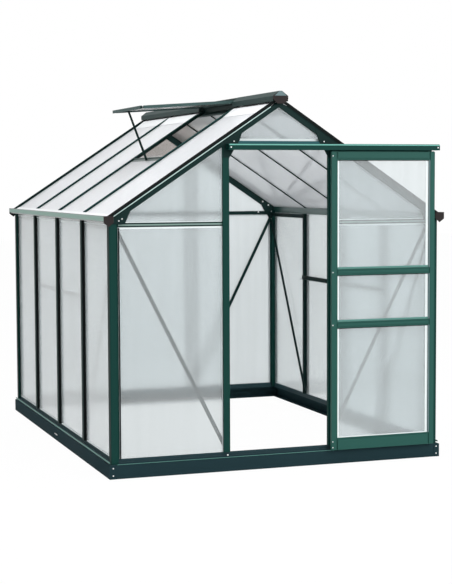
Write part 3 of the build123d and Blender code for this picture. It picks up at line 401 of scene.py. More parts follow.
# Powder coats: name, colour or its setting, its factor, the faded factor, roughness,
# specular and what differs otherwise
COATS = (
    ("green_gloss", "frame_green", 1, 1.4, 0.28, 0.5, {"coat": 0.3}),
    ("green_sheen", "frame_green", 1, 1.4, 0.3, 0.6, {"coat": 0.7}),
    ("green_door", "door_green", 1, 1.2, 0.42, 0.18, {}),
    ("green_post", "post_green", 1, 1.25, 0.45, 0.1, {}),
    ("ridge_coat", "ridge_grey", 1, 1.5, 0.45, 0.1, {}),
    ("window_coat", "ridge_grey", 1.9, 2.6, 0.45, 0.15, {}),
    ("gutter_face", "gutter_reflection_colour", 1, 1.2, 0.4, 0.3, {}),
    ("aqua_lip", "aqua_highlight", 1, 1.2, 0.4, 0.4, {}),
    # Painted shade: the darker copy of the frame's green
    ("green_shade", "painted_shade_green", 1, 1.5, 0.5, 0.12, {}),
    ("pale_liner", "pale_green", 1, 1.2, 0.45, 0.3, {}),
    ("slate_steel", "base_slate", 1, 1.3, 0.6, 0.015, {"grain": 600}),
    ("slate_sill", "base_slate", 1.35, 1.7, 0.45, 0.1, {}),
    ("black_seal", "seal_black", 0.8, 1.6, 0.6, 0.1, {"grain": 700}),
    ("sheet_edge", "edge_highlight", 1, 0.92, 0.35, 0.5, {"grain": 400}),
)

# Finishes of single pieces: name, colour, faded colour and the rest as above
PLAIN_COATS = (
    # Painted reflection: the door header's green, made bluer and lighter
    ("header_coat", (0.016, 0.10, 0.115, 1), (0.025, 0.13, 0.14, 1), 0.4, 0.2, {}),
    # Painted reflection: the roof bars' caps in a greyer, lighter copy of the frame's green
    ("roof_cap_coat", (0.020, 0.056, 0.053, 1), (0.03, 0.075, 0.07, 1), 0.5, 0.0, {}),
    # Painted highlight: the teal line on the sills' and door rails' lips
    ("sill_line", (0.07, 0.20, 0.17, 1), (0.12, 0.3, 0.26, 1), 0.4, 0.3, {}),
    # blue_grey serves the door's glazing beads and the painted highlight on the ridge's ends
    ("blue_grey", (0.11, 0.17, 0.18, 1), (0.13, 0.2, 0.21, 1), 0.4, 0.3, {}),
    ("plated_metal", (0.88, 0.90, 0.90, 1), (0.74, 0.75, 0.75, 1), 0.3, 0.5,
     {"metallic": 0.6, "grain": 1500, "lift": 0.1}),
    ("black_cap", (0.022, 0.018, 0.018, 1), (0.04, 0.032, 0.032, 1), 0.5, 0.1,
     {"grain": 500}),
    ("flashing_white", (0.93, 0.94, 0.95, 1), (0.88, 0.89, 0.9, 1), 0.5, 0.2, {}),
    # Painted highlight: the pale line along the front gable's left rafter
    ("pale_edge", (0.68, 0.9, 0.86, 1), (0.74, 0.93, 0.9, 1), 0.35, 0.5, {}),
)


def make_sheets(tint, dust, pitch, clear):
    """The sheets of the walls, gables, roof, door and window. One polycarbonate, tinted lighter
    or darker for each face as painted light, and the window's sheet a dark warm grey as painted
    shade.
    """
    # Painted light: the roof's sheets lighter, and the window's sheet dark warm grey as shade
    roof, window = (0.96, 0.97, 0.99, 1), (0.50, 0.48, 0.46, 1)
    along, across = (0, 1, 0), (1, 0, 0)
    down = tuple(-roof_normal(1))
    for name, colour, axis, share, more in (
            ("sheet_wall", scaled(tint, 1.13), along, 0.84, {}),
            ("sheet_wall_right", scaled(tint, 1.13), along, 0.95, {}),
            ("sheet_roof", roof, along, 0.5, {"lift": 0.1, "passing": 0.9, "haze": 0.3}),
            ("sheet_roof_right", scaled(roof, 0.97), along, 0.55,
             {"lift": 0.1, "passing": 0.9, "dust": dust, "inward": down, "haze": 0.05,
              "gloss": 0.15}),
            ("sheet_window", window, along, 0.3, {"passing": 0.4}),
            ("sheet_gable", scaled(tint, 1.02), across, 1, {"haze": 0.045}),
            ("sheet_door", scaled(tint, 1.10), across, 0.97, {"haze": 0.045}),
            ("sheet_rear", scaled(tint, 1.13), across, 0.87,
             {"dust": dust, "inward": (0, -1, 0), "dust_height": 1.675})):
        sheet_material(name, colour, axis, pitch, clear * share, **more)


class GREENHOUSE_OT_finishes(bpy.types.Operator):
    """Makes the finishes and puts them on the frame's nodes."""

    bl_idname = "greenhouse.finishes"
    bl_label = "Finishes"

    def execute(self, context):
        colours = context.scene.greenhouse_colours
        sizes = context.scene.greenhouse_sizes
        make_powder_group()
        make_rib_group()
        for name, setting, factor, faded, roughness, specular, more in COATS:
            colour = tuple(getattr(colours, setting))
            powder_material(name, scaled(colour, factor), scaled(colour, faded),
                            roughness, specular, **more)
        for name, colour, faded, roughness, specular, more in PLAIN_COATS:
            powder_material(name, colour, faded, roughness, specular, **more)
        make_sheets(tuple(colours.sheet_tint), tuple(colours.dust), sizes.rib_pitch,
                    sizes.sheet_through)
        for name, nodes in MATERIAL_NODES.items():
            for node in nodes:
                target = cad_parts[node]
                if not target.material_slots:
                    target.data.materials.append(None)
                for slot in target.material_slots:
                    slot.material = bpy.data.materials[name]
        return {"FINISHED"}


# Modelling helpers


def pick_only(obj):
    bpy.ops.object.select_all(action="DESELECT")
    obj.select_set(True)
    bpy.context.view_layer.objects.active = obj


def edit_all(obj):
    pick_only(obj)
    bpy.ops.object.mode_set(mode="EDIT")
    bpy.ops.mesh.select_all(action="SELECT")


def close_edit():
    bpy.ops.mesh.select_all(action="SELECT")
    bpy.ops.mesh.normals_make_consistent(inside=False)
    bpy.ops.object.mode_set(mode="OBJECT")


def push_out(push):
    """Extrudes the faces picked in edit mode by a vector, and closes the edit."""
    bpy.ops.mesh.extrude_region_move(TRANSFORM_OT_translate={"value": tuple(push)})
    close_edit()


def settle(obj):
    """Puts the object's place into its mesh."""
    pick_only(obj)
    bpy.ops.object.transform_apply(location=True, rotation=True, scale=True)
    return obj


def face_plate(corners):
    """A flat face with these corners, in order."""
    bpy.ops.object.select_all(action="DESELECT")
    bpy.ops.mesh.primitive_circle_add(vertices=len(corners), radius=1, fill_type="NGON")
    obj = bpy.context.object
    for vertex, corner in zip(obj.data.vertices, corners):
        vertex.co = corner
    obj.data.update()
    return obj


def thick_plate(corners, push):
    """A plate with these corners, made thick by a vector."""
    plate = face_plate(corners)
    edit_all(plate)
    push_out(push)
    return plate


def edge_band(corners, outward, widths):
    """A raised band round the inside of a flat outline, with its own width on each side."""
    points = [Vector(c) for c in corners]
    outward = Vector(outward)
    middle = sum(points, Vector()) / len(points)
    lines = []
    for point, after, width in zip(points, points[1:] + points[:1], widths):
        run = (after - point).normalized()
        inward = run.cross(outward)
        if inward.dot(middle - point) < 0:
            inward = -inward
        lines.append((point + inward * width, run))
    obj = face_plate(corners)
    edit_all(obj)
    bpy.ops.mesh.inset(thickness=0.0015, depth=0, use_even_offset=True)
    bpy.ops.mesh.delete(type="FACE")
    bpy.ops.object.mode_set(mode="OBJECT")
    # The nearest vertex to a corner is its own, and the next one is the inset's
    for i, point in enumerate(points):
        (first, first_run), (second, second_run) = lines[i - 1], lines[i]
        turn = first_run.cross(second_run)
        share = (second - first).cross(second_run).dot(turn) / turn.length_squared
        near = sorted(obj.data.vertices, key=lambda v: (v.co - point).length)[1]
        near.co = first + first_run * share
    obj.data.update()
    edit_all(obj)
    push_out(outward * BAND_THICK)
    return obj


def long_strip(start, end, up, width, height, round_by):
    """A strip from start to end, its section's height along up and its edges rounded."""
    start, end, up = Vector(start), Vector(end), Vector(up).normalized()
    side = (end - start).normalized().cross(up)
    obj = face_plate([start - side * width / 2, start + side * width / 2,
                      start + side * width / 2 + up * height,
                      start - side * width / 2 + up * height])
    edit_all(obj)
    bpy.ops.mesh.bevel(offset=round_by, segments=2, affect="VERTICES")
    bpy.ops.mesh.select_all(action="SELECT")
    push_out(end - start)
    return obj


def axis_strip(axis, place, reach, up, *section):
    """A long strip along one axis: reach is its two ends, place its other coordinates.

    The section is its width, its height and how far its edges are rounded.
    """
    at = "xyz".index(axis)
    start, end = (place[:at] + (value,) + place[at:] for value in reach)
    return long_strip(start, end, up, *section)


def slope_strip(side, y, reach, deep, *section):
    """A long strip up one slope, square to the roof, with a section as above.

    It reaches between two distances from the middle, and deep is its foot under the roof.
    """
    start, end = ((side * x, y, roof_z(x, deep)) for x in reach)
    return long_strip(start, end, roof_normal(side), *section)


def join(name, parts, material, body="house"):
    """Joins the parts to one piece with its finish, and sets what it rides on."""
    pick_only(parts[0])
    for part in parts[1:]:
        part.select_set(True)
    if len(parts) > 1:
        bpy.ops.object.join()
    piece = bpy.context.view_layer.objects.active
    piece.name = name
    piece.data.name = name
    piece.data.materials.clear()
    piece.data.materials.append(bpy.data.materials[material])
    settle(piece)
    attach(piece, body)
    return piece


def copy_to(master, place, axis):
    """A copy of the master with its own mesh, standing at place with its +Z along axis."""
    twin = master.copy()
    twin.data = master.data.copy()
    bpy.context.scene.collection.objects.link(twin)
    turn = Vector((0, 0, 1)).rotation_difference(Vector(axis).normalized()).to_matrix().to_4x4()
    twin.data.transform(Matrix.Translation(Vector(place)) @ turn)
    return twin


def bolt_master(radius):
    """A hexagon bolt head on its washer, standing on the ground at the middle."""
    parts = []
    for sides, wide, deep, low, bevel, segments in (
            (24, radius * 1.25, 0.0012, 0.0, 0.0003, 1),
            (6, radius, radius * 0.7, 0.0012, radius * 0.12, 2)):
        bpy.ops.object.select_all(action="DESELECT")
        bpy.ops.mesh.primitive_cylinder_add(vertices=sides, radius=wide, depth=deep,
                                            location=(0, 0, low + deep / 2))
        part = settle(bpy.context.object)
        edit_all(part)
        bpy.ops.mesh.bevel(offset=bevel, segments=segments, affect="EDGES")
        close_edit()
        parts.append(part)
    washer, head = parts
    pick_only(head)
    washer.select_set(True)
    bpy.ops.object.join()
    return bpy.context.view_layer.objects.active


def bolts(name, places, radius, material="plated_metal", body="house"):
    """One piece of like bolts; places are (point, outward axis)."""
    master = bolt_master(radius)
    twins = [copy_to(master, place, axis) for place, axis in places]
    bpy.data.objects.remove(master)
    return join(name, twins, material, body)


def side_outlines(s, width):
    """The sheets of one side wall: the bands, partly sealed edge and partly painted highlight,
    are broad at their front edge.
    """
    thin = width * 0.4
    x = s * (WALL_X - PANE_FACE + FIT)
    top = POST_TOP - 0.014
    edges = [-WALL_Y + POST_W]
    for y in BAR_Y:
        edges += [y - BAR_W / 2, y + BAR_W / 2]
    edges += [WALL_Y - POST_W]
    outlines = []
    for y0, y1 in zip(edges[0::2], edges[1::2]):
        broad = width * (6.6 if y0 == edges[0] else 5.6)
        outlines.append((((x, y0, SILL_TOP), (x, y1, SILL_TOP), (x, y1, top), (x, y0, top)),
                         (s, 0, 0), (thin, thin, thin, broad)))
    return outlines


def gable_outlines(s, width):
    """The sheets of one gable: beside the door, under the rafters and over the door."""
    thin, foot = width * 0.4, 0.0016
    y = s * (WALL_Y - PANE_FACE + FIT)
    outward = (0, s, 0)

    def pane(x0, x1, z0, z1):
        return (x0, y, z0), (x1, y, z0), (x1, y, z1), (x0, y, z1)

    a, b = STUD_X + BAR_W / 2, WALL_X - POST_W
    outlines = []
    for t in (-1, 1):
        outlines.append((pane(t * a, t * b, SILL_TOP, CROSS_LOW), outward,
                         (foot, thin, width, thin)))
        outlines.append((((t * a, y, CROSS_TOP), (t * b, y, CROSS_TOP),
                          (t * b, y, roof_z(b, RAFTER_DEEP)),
                          (t * a, y, roof_z(a, RAFTER_DEEP))),
                         outward, (thin, thin, thin, thin)))
    c = STUD_X - BAR_W / 2
    low = HEAD_TOP if s < 0 else CROSS_TOP
    outlines.append((((-c, y, low), (c, y, low), (c, y, roof_z(c, RAFTER_DEEP)),
                      (0, y, roof_z(0, RAFTER_DEEP)), (-c, y, roof_z(c, RAFTER_DEEP))),
                     outward, (width * 1.3, thin, thin, thin, thin)))
    if s > 0:
        outlines.append((pane(-c, c, SILL_TOP, CROSS_LOW), outward,
                         (foot, thin, width, thin)))
    return outlines


class GREENHOUSE_OT_sheet_edges(bpy.types.Operator):
    """Adds the sealed edges of the sheets with their painted highlights, and the door's beads,
    the painted highlights on its rails' lips and the painted shade under its rails.
    """

    bl_idname = "greenhouse.sheet_edges"
    bl_label = "Sheet edges"

    def execute(self, context):
        width = context.scene.greenhouse_sizes.edge_width
        for outlines, faces in ((side_outlines, SIDES), (gable_outlines, GABLES)):
            for face, s in faces:
                join("sheet_edges_" + face,
                     [edge_band(*outline) for outline in outlines(s, width)],
                     "sheet_edge")
        out = (0, -1, 0)
        rails = [DOOR_LOW.z + FOOT_RAIL]
        for low in MIDDLE_RAILS:
            rails += [low, low + MIDDLE_RAIL]
        rails += [DOOR_HIGH.z - TOP_RAIL]
        x0, x1 = DOOR_LOW.x + BAR_W, DOOR_HIGH.x - BAR_W
        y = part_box("door_panes")[0].y - FIT
        # Painted highlight: the door's sheet edges are brightest and widest on their right
        widths = (width * 0.55, width * 1.7, width * 0.35, width * 0.9)
        bands, beads = [], []
        for z0, z1 in zip(rails[0::2], rails[1::2]):
            corners = ((x0, y, z0), (x1, y, z0), (x1, y, z1), (x0, y, z1))
            bands.append(edge_band(corners, out, widths))
            beads.append(axis_strip("z", (x1 + 0.0040, DOOR_LOW.y),
                                    (z0 + 0.0005, z1 - 0.0005),
                                    out, 0.0070, 0.0012, 0.0004))
        join("sheet_edges_door", bands, "sheet_edge", body="door")
        join("door_glazing_beads", beads, "blue_grey", body="door")
        across = (x0 + 0.0005, x1 - 0.0005)
        # Painted highlight: teal lines on the lips over the door's middle rails
        lips = [axis_strip("x", (y, z + 0.0055), across, out, 0.0100, 0.0030, 0.0006)
                for z in rails[2::2]]
        join("door_rail_lips", lips, "sill_line", body="door")
        # Painted shade: black strips under the rails, over the panes' top edges
        seals = [axis_strip("x", (y, z - 0.0018), across, out, 0.0032, 0.0034, 0.0006)
                 for z in rails[1::2]]
        join("door_rail_seals", seals, "black_seal", body="door")
        return {"FINISHED"}


def add_bar_seals(deep):
    """Seals on the flanks of the side walls' bars, and flat gaskets beside them."""
    thick = 0.0014
    for label, s in SIDES:
        strips = []
        for bar in BAR_Y:
            for t in (-1, 1):
                flank = bar + t * (BAR_W / 2 + thick / 2 + HAIR)
                strips.append(axis_strip("z", (s * (WALL_X - 0.0148), flank),
                                         (BAR_LOW, BAR_HIGH), (s, 0, 0),
                                         thick, deep, 0.0003))
                beside = bar + t * (BAR_W / 2 + 0.0081)
                strips.append(axis_strip("z", (s * (WALL_X - PANE_FACE + 0.0012), beside),
                                         SEAL_REACH, (s, 0, 0), 0.0130, 0.0010, 0.0003))
        join("bar_seals_" + label, strips, "black_seal")


def add_rafter_covers():
    """Covers and beads along the rafters of both gables, with a painted highlight on the front
    left bead, and the seals at the ridge.
    """
    reach = (0.046, WALL_X + 0.006)
    thick, round_by = 0.0034, 0.0006
    for label, s in GABLES:
        covers, beads, ends = [], {"left": [], "plain": []}, []
        for t in (-1, 1):
            # Painted highlight: the front gable's left bead is pale
            bead = beads["left" if s < 0 and t < 0 else "plain"]
            for deep, high, back, into in ((0.0150, 0.0044, 0.0032, covers),
                                           (0.0096, 0.0044, 0.0032, covers),
                                           (0.0044, 0.0040, 0.0032, covers),
                                           (0.0216, 0.0030, 0.0025, bead)):
                into.append(slope_strip(t, s * (WALL_Y - back), reach, deep,
                                        thick, high, round_by))
        join("rafter_covers_" + label, covers,
             "black_seal" if s < 0 else "green_sheen")
        join("rafter_beads_" + label, beads["plain"], "green_shade")
        if beads["left"]:
            join("rafter_bead_left", beads["left"], "pale_edge")
        for t in (-1, 1):
            ends.append(slope_strip(t, s * (WALL_Y - 0.0032), (0.012, 0.0455), 0.0165,
                                    thick, 0.0150, round_by))
        join("ridge_end_seals_" + label, ends, "black_seal")


def add_crossbar_pale_strips():
    """Pale strips in the grooves of the gables' crossbars."""
    stud, stud_in = STUD_X + BAR_W / 2 + 0.001, STUD_X - BAR_W / 2 - 0.001
    post = WALL_X - POST_W - 0.003
    middle = (CROSS_LOW + CROSS_TOP) / 2
    for label, s in GABLES:
        runs = [(-post, -stud), (stud, post)]
        if s > 0:
            runs.append((-stud_in, stud_in))
        groove_strips = [axis_strip("x", (s * (WALL_Y - 0.0133), middle), run, (0, s, 0),
                             0.0085, 0.0022, 0.0008) for run in runs]
        join("crossbar_liners_" + label, groove_strips, "pale_liner")


def add_corner_seals():
    """Seals beside the corner posts, and flat strips of painted shade on the posts' sides."""
    seals, covers = [], []
    for s in (-1, 1):
        for t in (-1, 1):
            seals.append(axis_strip("z", (t * (WALL_X - POST_W - 0.001), s * WALL_Y),
                                    (SILL_TOP + 0.001, CROSS_LOW - 0.002), (0, s, 0),
                                    0.0080, 0.0014, 0.0005))
            seals.append(axis_strip("z", (t * (WALL_X - PANE_FACE + FIT),
                                          s * (WALL_Y - POST_W - 0.003)),
                                    SEAL_REACH, (t, 0, 0), 0.0056, 0.0026, 0.0006))
    join("corner_seals", seals, "black_seal")
    # Painted shade: thin dark strips over the posts' outer sides
    for s in (-1, 1):
        for t in (-1, 1):
            covers.append(axis_strip("z", (t * (WALL_X + HAIR), s * (WALL_Y - 0.028)),
                                     SEAL_REACH, (t, 0, 0), 0.036, 0.0008, 0.0003))
    join("post_side_covers", covers, "green_shade")


class GREENHOUSE_OT_seals(bpy.types.Operator):
    """Adds the seals beside the bars and posts, the painted shade on the posts' sides, and the
    covers and pale groove strips of the gables.
    """

    bl_idname = "greenhouse.seals"
    bl_label = "Seals"

    def execute(self, context):
        add_bar_seals(context.scene.greenhouse_sizes.seal_depth)
        add_rafter_covers()
        add_crossbar_pale_strips()
        add_corner_seals()
        return {"FINISHED"}


def add_lips():
    """Painted highlights along the rounded lips of the track and sills, and the painted
    reflections on the gutters' faces.
    """
    lip = axis_strip("x", (TRACK_LOW.y - HAIR, TRACK_HIGH.z - 0.0055),
                     (TRACK_LOW.x + 0.002, TRACK_HIGH.x - 0.002),
                     (0, -1, 0), 0.0062, 0.0016, 0.0007)
    join("track_lip", [lip], "aqua_lip")
    lips, faces = [], []
    for s in (-1, 1):
        low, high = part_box("sill_front" if s < 0 else "sill_rear")
        y = (low.y if s < 0 else high.y) + s * HAIR
        lips.append(axis_strip("x", (y, SILL_LOW + 0.003), (low.x + 0.008, high.x - 0.008),
                               (0, s, 0), 0.0032, 0.0013, 0.0005))
        low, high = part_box("sill_left" if s < 0 else "sill_right")
        x = (low.x if s < 0 else high.x) + s * HAIR
        lips.append(axis_strip("y", (x, SILL_LOW + 0.0125), (low.y + 0.008, high.y - 0.008),
                               (s, 0, 0), 0.0085, 0.0013, 0.0005))
    join("sill_lips", lips, "sill_line")
    # Painted reflection: pale strips along the gutters' outer faces
    for s in (-1, 1):
        low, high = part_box("gutter_left" if s < 0 else "gutter_right")
        x = (low.x if s < 0 else high.x) + s * HAIR
        faces.append(axis_strip("y", (x, high.z - 0.0145), (low.y + 0.002, high.y - 0.002),
                                (s, 0, 0), 0.0225, 0.0011, 0.0004))
    join("gutter_faces", faces, "gutter_face")


def add_ridge_flashings():
    """Pale strips from the ridge cap down to the sheets, bay by bay, but not at the window."""
    gable = 0.050
    x_top, x_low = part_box("ridge_beam")[1].x + 0.0004, 0.106
    z_top, z_low = roof_z(x_top, 0.0080), roof_z(x_low, ROOF_FACE - FIT)
    edges = [-WALL_Y + gable]
    for y in BAR_Y:
        edges += [y - BAR_W / 2 - 0.0005, y + BAR_W / 2 + 0.0005]
    edges += [WALL_Y - gable]
    bays = list(zip(edges[0::2], edges[1::2]))
    flashings = []
    for s, runs in ((-1, (bays[0], bays[2], bays[3])), (1, bays)):
        slope = Vector((s * (x_low - x_top), 0, z_low - z_top))
        normal = Vector((-s * slope.z, 0, s * slope.x))
        middle = (s * (x_low + x_top) / 2, (z_low + z_top) / 2)
        flashings += [axis_strip("y", middle, run, normal, slope.length, 0.0012, 0.0004)
                      for run in runs]
    join("ridge_flashings", flashings, "flashing_white")


def add_roof_covers():
    """The pale strips at the eaves, the caps on the roof bars with their painted reflection,
    and the painted highlights on the ridge's ends.
    """
    x, ends = WALL_X - 0.011, (-WALL_Y + 0.052, WALL_Y - 0.052)
    strips = [axis_strip("y", (s * x, roof_z(x, 0.0090)), ends, roof_normal(s),
                         0.022, 0.0012, 0.0004) for s in (-1, 1)]
    join("eave_strips", strips, "flashing_white")
    # Caps on the roof bars, whose grey-teal tone is a painted reflection
    caps = [slope_strip(s, y, (0.050, WALL_X - 0.021), 0.0094, wide, 0.0035, 0.001)
            for s, wide in ((-1, 0.036), (1, 0.018)) for y in BAR_Y]
    join("roof_bar_caps", caps, "roof_cap_coat")
    # Painted highlight: blue-grey plates on the ridge's end caps
    plates = []
    for s in (-1, 1):
        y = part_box("end_caps")[0 if s < 0 else 1].y
        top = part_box("ridge_beam")[1].z - 0.0015
        plates.append(thick_plate([(-0.034, y, top - 0.024), (0.034, y, top - 0.024),
                                   (0.008, y, top), (-0.008, y, top)], (0, s * 0.0008, 0)))
    join("ridge_cap_plates", plates, "blue_grey")


def add_door_seals():
    """The brush along the door's top, and the skirt that hangs behind it from the track."""
    brush = axis_strip("x", ((DOOR_LOW.y + DOOR_HIGH.y) / 2, DOOR_HIGH.z + HAIR),
                       (DOOR_LOW.x + 0.002, DOOR_HIGH.x - 0.002),
                       (0, 0, 1), 0.012, 0.0035, 0.0008)
    join("door_top_brush", [brush], "green_door", body="door")
    skirt = axis_strip("x", (TRACK_HIGH.y - 0.005, TRACK_LOW.z - 0.0135),
                       (DOOR_LOW.x + 0.004, DOOR_HIGH.x - 0.004),
                       (0, 0, 1), 0.004, 0.0134, 0.0006)
    join("track_skirt", [skirt], "green_post")


class GREENHOUSE_OT_lips(bpy.types.Operator):
    """Adds the painted highlights on the lips and the painted reflections on the gutters, the
    roof's strips and caps, and the door's top seals.
    """

    bl_idname = "greenhouse.lips"
    bl_label = "Lips"

    def execute(self, context):
        add_lips()
        add_ridge_flashings()
        add_roof_covers()
        add_door_seals()
        return {"FINISHED"}


def add_outer_bolts():
    """Bolts of the gussets, base, door posts and track."""
    base_x, base_y, corner_x = 0.95, 1.265, 0.931
    for label, s in GABLES:
        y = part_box(label + "_gussets")[0 if s < 0 else 1].y
        spots = ((WALL_X - 0.051, CROSS_TOP + 0.011), (WALL_X - 0.068, CROSS_TOP + 0.021),
                 (STUD_X - 0.045, HEAD_LOW + 0.034))
        bolts("gusset_bolts_" + label, [((t * x, y, z), (0, s, 0))
                                        for t in (-1, 1) for x, z in spots],
              radius=0.0028)
        bolts("base_bolts_" + label, [((t * corner_x, s * base_y, z), (0, s, 0))
                                      for t in (-1, 1) for z in (0.0187, 0.0575)],
              radius=0.0032)
    bolts("base_bolts_sides", [((s * base_x, y, 0.036), (s, 0, 0)) for s in (-1, 1)
                               for y in (-0.03, -0.012, 0.012, 0.03)], radius=0.0032)
    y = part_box("sill_front")[0].y
    bolts("post_foot_bolts", [((t * STUD_X, y, SILL_LOW + 0.0155), (0, -1, 0))
                              for t in (-1, 1)], radius=0.0034)
    bolts("track_screws", [((x, TRACK_LOW.y, TRACK_LOW.z + 0.014), (0, -1, 0))
                           for x in (TRACK_LOW.x + 0.012, TRACK_HIGH.x - 0.012)],
          radius=0.0030)
    y = (TRACK_LOW.y + TRACK_HIGH.y) / 2
    bolts("track_end_bolts", [((TRACK_HIGH.x, y, TRACK_LOW.z + 0.020), (1, 0, 0))],
          radius=0.008, material="black_cap")


def add_corner_plates():
    """Plates with bolts, and flat rails, inside the rear gable's upper corners."""
    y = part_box("rear_crossbars")[0].y
    outline = ((0.914, 1.267), (0.888, 1.2676), (0.863, 1.310), (0.848, 1.3305),
               (0.815, 1.3875), (0.822, 1.415), (0.845, 1.412), (0.885, 1.387),
               (0.914, 1.368))
    spots = ((0.8336, 1.3965), (0.876, 1.3714), (0.9017, 1.3264), (0.9016, 1.276),
             (0.8001, 1.3226))
    plates, places = [], []
    for t in (-1, 1):
        plates.append(thick_plate([(t * x, y - 0.0003, z) for x, z in outline],
                                  (0, -0.002, 0)))
        plates.append(slope_strip(t, y - 0.001, (0.03, 0.82), 0.061, 0.0016, 0.0140, 0.0004))
        places += [((t * x, y - 0.0024, z), (0, -1, 0)) for x, z in spots]
    join("inner_corner_plates", plates, "green_shade")
    bolts("inner_corner_bolts", places, radius=0.0042)


class GREENHOUSE_OT_fixings(bpy.types.Operator):
    """Adds the bolts and screws, and the plates inside the rear gable's corners."""

    bl_idname = "greenhouse.fixings"
    bl_label = "Fixings"

    def execute(self, context):
        add_outer_bolts()
        add_corner_plates()
        heights = [DOOR_LOW.z + 0.014, DOOR_LOW.z + 0.046, DOOR_HIGH.z - 0.022]
        heights += [low + MIDDLE_RAIL / 2 for low in MIDDLE_RAILS]
        bolts("door_screws", [((DOOR_LOW.x + 0.0065, DOOR_LOW.y, z), (0, -1, 0))
                              for z in heights], radius=0.0026, body="door")
        return {"FINISHED"}


def seen_straight(tree, least):
    """Which rays see the white ground, and how bright it is to them.

    It is seen by camera rays, at full strength, and by rays that have passed a sheet or
    were mirrored, at the least strength.
    """
    rays = tree.nodes.new("ShaderNodeLightPath").outputs
    seen = math_node(tree, "MAXIMUM", rays["Is Camera Ray"], rays["Is Transmission Ray"])
    seen = math_node(tree, "MAXIMUM", seen, rays["Is Glossy Ray"])
    bright = math_node(tree, "MULTIPLY_ADD", rays["Is Camera Ray"], 1 - least, least)
    return seen, bright


def add_floor():
    """A white floor that shows plain white and still takes a soft shadow."""
    bpy.ops.object.select_all(action="DESELECT")
    bpy.ops.mesh.primitive_plane_add(size=60, location=(0, 0, -0.0005))
    floor = settle(bpy.context.object)
    floor.name = "floor"
    material = bpy.data.materials.new("floor_white")
    material.use_nodes = True
    tree = material.node_tree
    shader = tree.nodes["Principled BSDF"]
    shader.inputs["Base Color"].default_value = (0.92, 0.92, 0.92, 1)
    shader.inputs["Roughness"].default_value = 0.9
    shader.inputs["Specular IOR Level"].default_value = 0.0
    glow = tree.nodes.new("ShaderNodeEmission")
    seen, bright = seen_straight(tree, 0.89)
    tree.links.new(bright, glow.inputs["Strength"])
    share = math_node(tree, "MULTIPLY", seen, 0.97)
    tree.links.new(mix_shaders(tree, share, shader.outputs["BSDF"],
                               glow.outputs["Emission"]),
                   tree.nodes["Material Output"].inputs["Surface"])
    floor.data.materials.append(material)


def add_world(scene, daylight):
    """White to the eye, and an even light of its own strength on everything else."""
    world = bpy.data.worlds.new("studio")
    scene.world = world
    world.use_nodes = True
    tree = world.node_tree
    tree.nodes.clear()
    plain = tree.nodes.new("ShaderNodeBackground")
    plain.inputs["Color"].default_value = (0.97, 0.985, 1.0, 1)
    plain.inputs["Strength"].default_value = daylight
    white = tree.nodes.new("ShaderNodeBackground")
    white.inputs["Color"].default_value = (1, 1, 1, 1)
    seen, bright = seen_straight(tree, 0.9)
    tree.links.new(bright, white.inputs["Strength"])
    output = tree.nodes.new("ShaderNodeOutputWorld")
    tree.links.new(mix_shaders(tree, seen, plain.outputs["Background"],
                               white.outputs["Background"]), output.inputs["Surface"])


def add_lamp(scene, name, place, target, size, power):
    """A rectangular softbox at place that faces the target."""
    lamp = bpy.data.lights.new(name, "AREA")
    lamp.shape = "RECTANGLE"
    lamp.size, lamp.size_y = size
    lamp.energy = power
    holder = bpy.data.objects.new(name, lamp)
    holder.location = place
    holder.rotation_mode = "QUATERNION"
    aim = Vector(target) - Vector(place)
    holder.rotation_quaternion = aim.to_track_quat("-Z", "Y")
    scene.collection.objects.link(holder)


def add_camera(scene):
    """The camera that was fitted to the photograph."""
    yaw, pitch, roll = (math.radians(a) for a in (19.1427, -4.2726, -0.2518))
    ahead = Vector((math.sin(yaw) * math.cos(pitch), math.cos(yaw) * math.cos(pitch),
                    math.sin(pitch)))
    right = Vector((math.cos(yaw), -math.sin(yaw), 0))
    up = right.cross(ahead)
    right, up = (right * math.cos(roll) + up * math.sin(roll),
                 up * math.cos(roll) - right * math.sin(roll))
    view = Matrix((right, up, -ahead)).transposed().to_4x4()
    view.translation = (-2.85929, -8.63146, 1.54162)
    data = bpy.data.cameras.new("camera")
    data.sensor_width = 36
    data.lens = 91.33
    data.shift_x, data.shift_y = -0.0019, -0.0003
    data.clip_end = 100
    camera = bpy.data.objects.new("camera", data)
    scene.collection.objects.link(camera)
    camera.matrix_world = view
    scene.camera = camera


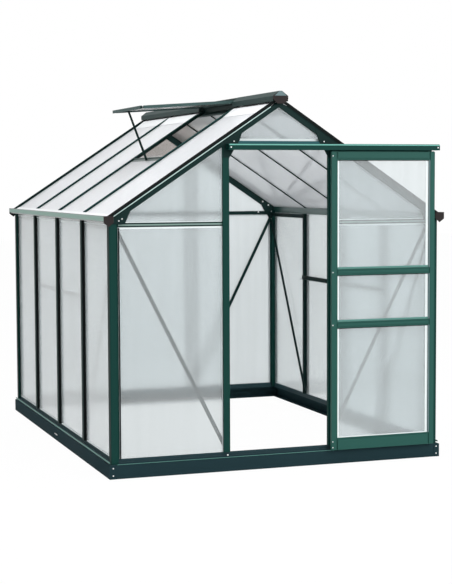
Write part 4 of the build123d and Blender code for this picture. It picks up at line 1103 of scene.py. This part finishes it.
class GREENHOUSE_OT_stage(bpy.types.Operator):
    """Adds the floor, the lamps, the surrounding light and the camera."""

    bl_idname = "greenhouse.stage"
    bl_label = "Stage"

    def execute(self, context):
        scene = context.scene
        sizes = scene.greenhouse_sizes
        add_floor()
        add_world(scene, sizes.daylight)
        add_lamp(scene, "front_softbox", (3.5, -7.0, 4.5), (0, 0, 1), (6.0, 4.0),
                 sizes.softbox_power)
        add_lamp(scene, "overhead_softbox", (0.0, -1.5, 6.0), (0, -1.5, 1), (7.0, 1.8),
                 sizes.overhead_power)
        add_camera(scene)
        scene.view_settings.view_transform = "Standard"
        return {"FINISHED"}


STEPS = (GREENHOUSE_OT_stage, GREENHOUSE_OT_finishes, GREENHOUSE_OT_sheet_edges,
         GREENHOUSE_OT_seals, GREENHOUSE_OT_lips, GREENHOUSE_OT_fixings)


class GREENHOUSE_PT_panel(bpy.types.Panel):
    """Lists the greenhouse's settings and steps."""

    bl_idname = "GREENHOUSE_PT_panel"
    bl_label = "Greenhouse"
    bl_space_type = "VIEW_3D"
    bl_region_type = "UI"
    bl_category = "Greenhouse"

    def draw(self, context):
        layout = self.layout
        for group in (context.scene.greenhouse_colours, context.scene.greenhouse_sizes):
            for key in group.__annotations__:
                layout.prop(group, key)
        for step in STEPS:
            layout.operator(step.bl_idname)


CLASSES = (GreenhouseColours, GreenhouseSizes) + STEPS + (GREENHOUSE_PT_panel,)


def register():
    for cls in CLASSES:
        bpy.utils.register_class(cls)
    bpy.types.Scene.greenhouse_colours = PointerProperty(type=GreenhouseColours)
    bpy.types.Scene.greenhouse_sizes = PointerProperty(type=GreenhouseSizes)


def unregister():
    del bpy.types.Scene.greenhouse_sizes
    del bpy.types.Scene.greenhouse_colours
    for cls in reversed(CLASSES):
        bpy.utils.unregister_class(cls)


def main():
    register()
    bpy.ops.greenhouse.stage()
    bpy.ops.greenhouse.finishes()
    bpy.ops.greenhouse.sheet_edges()
    bpy.ops.greenhouse.seals()
    bpy.ops.greenhouse.lips()
    bpy.ops.greenhouse.fixings()


if __name__ == "__main__":
    main()
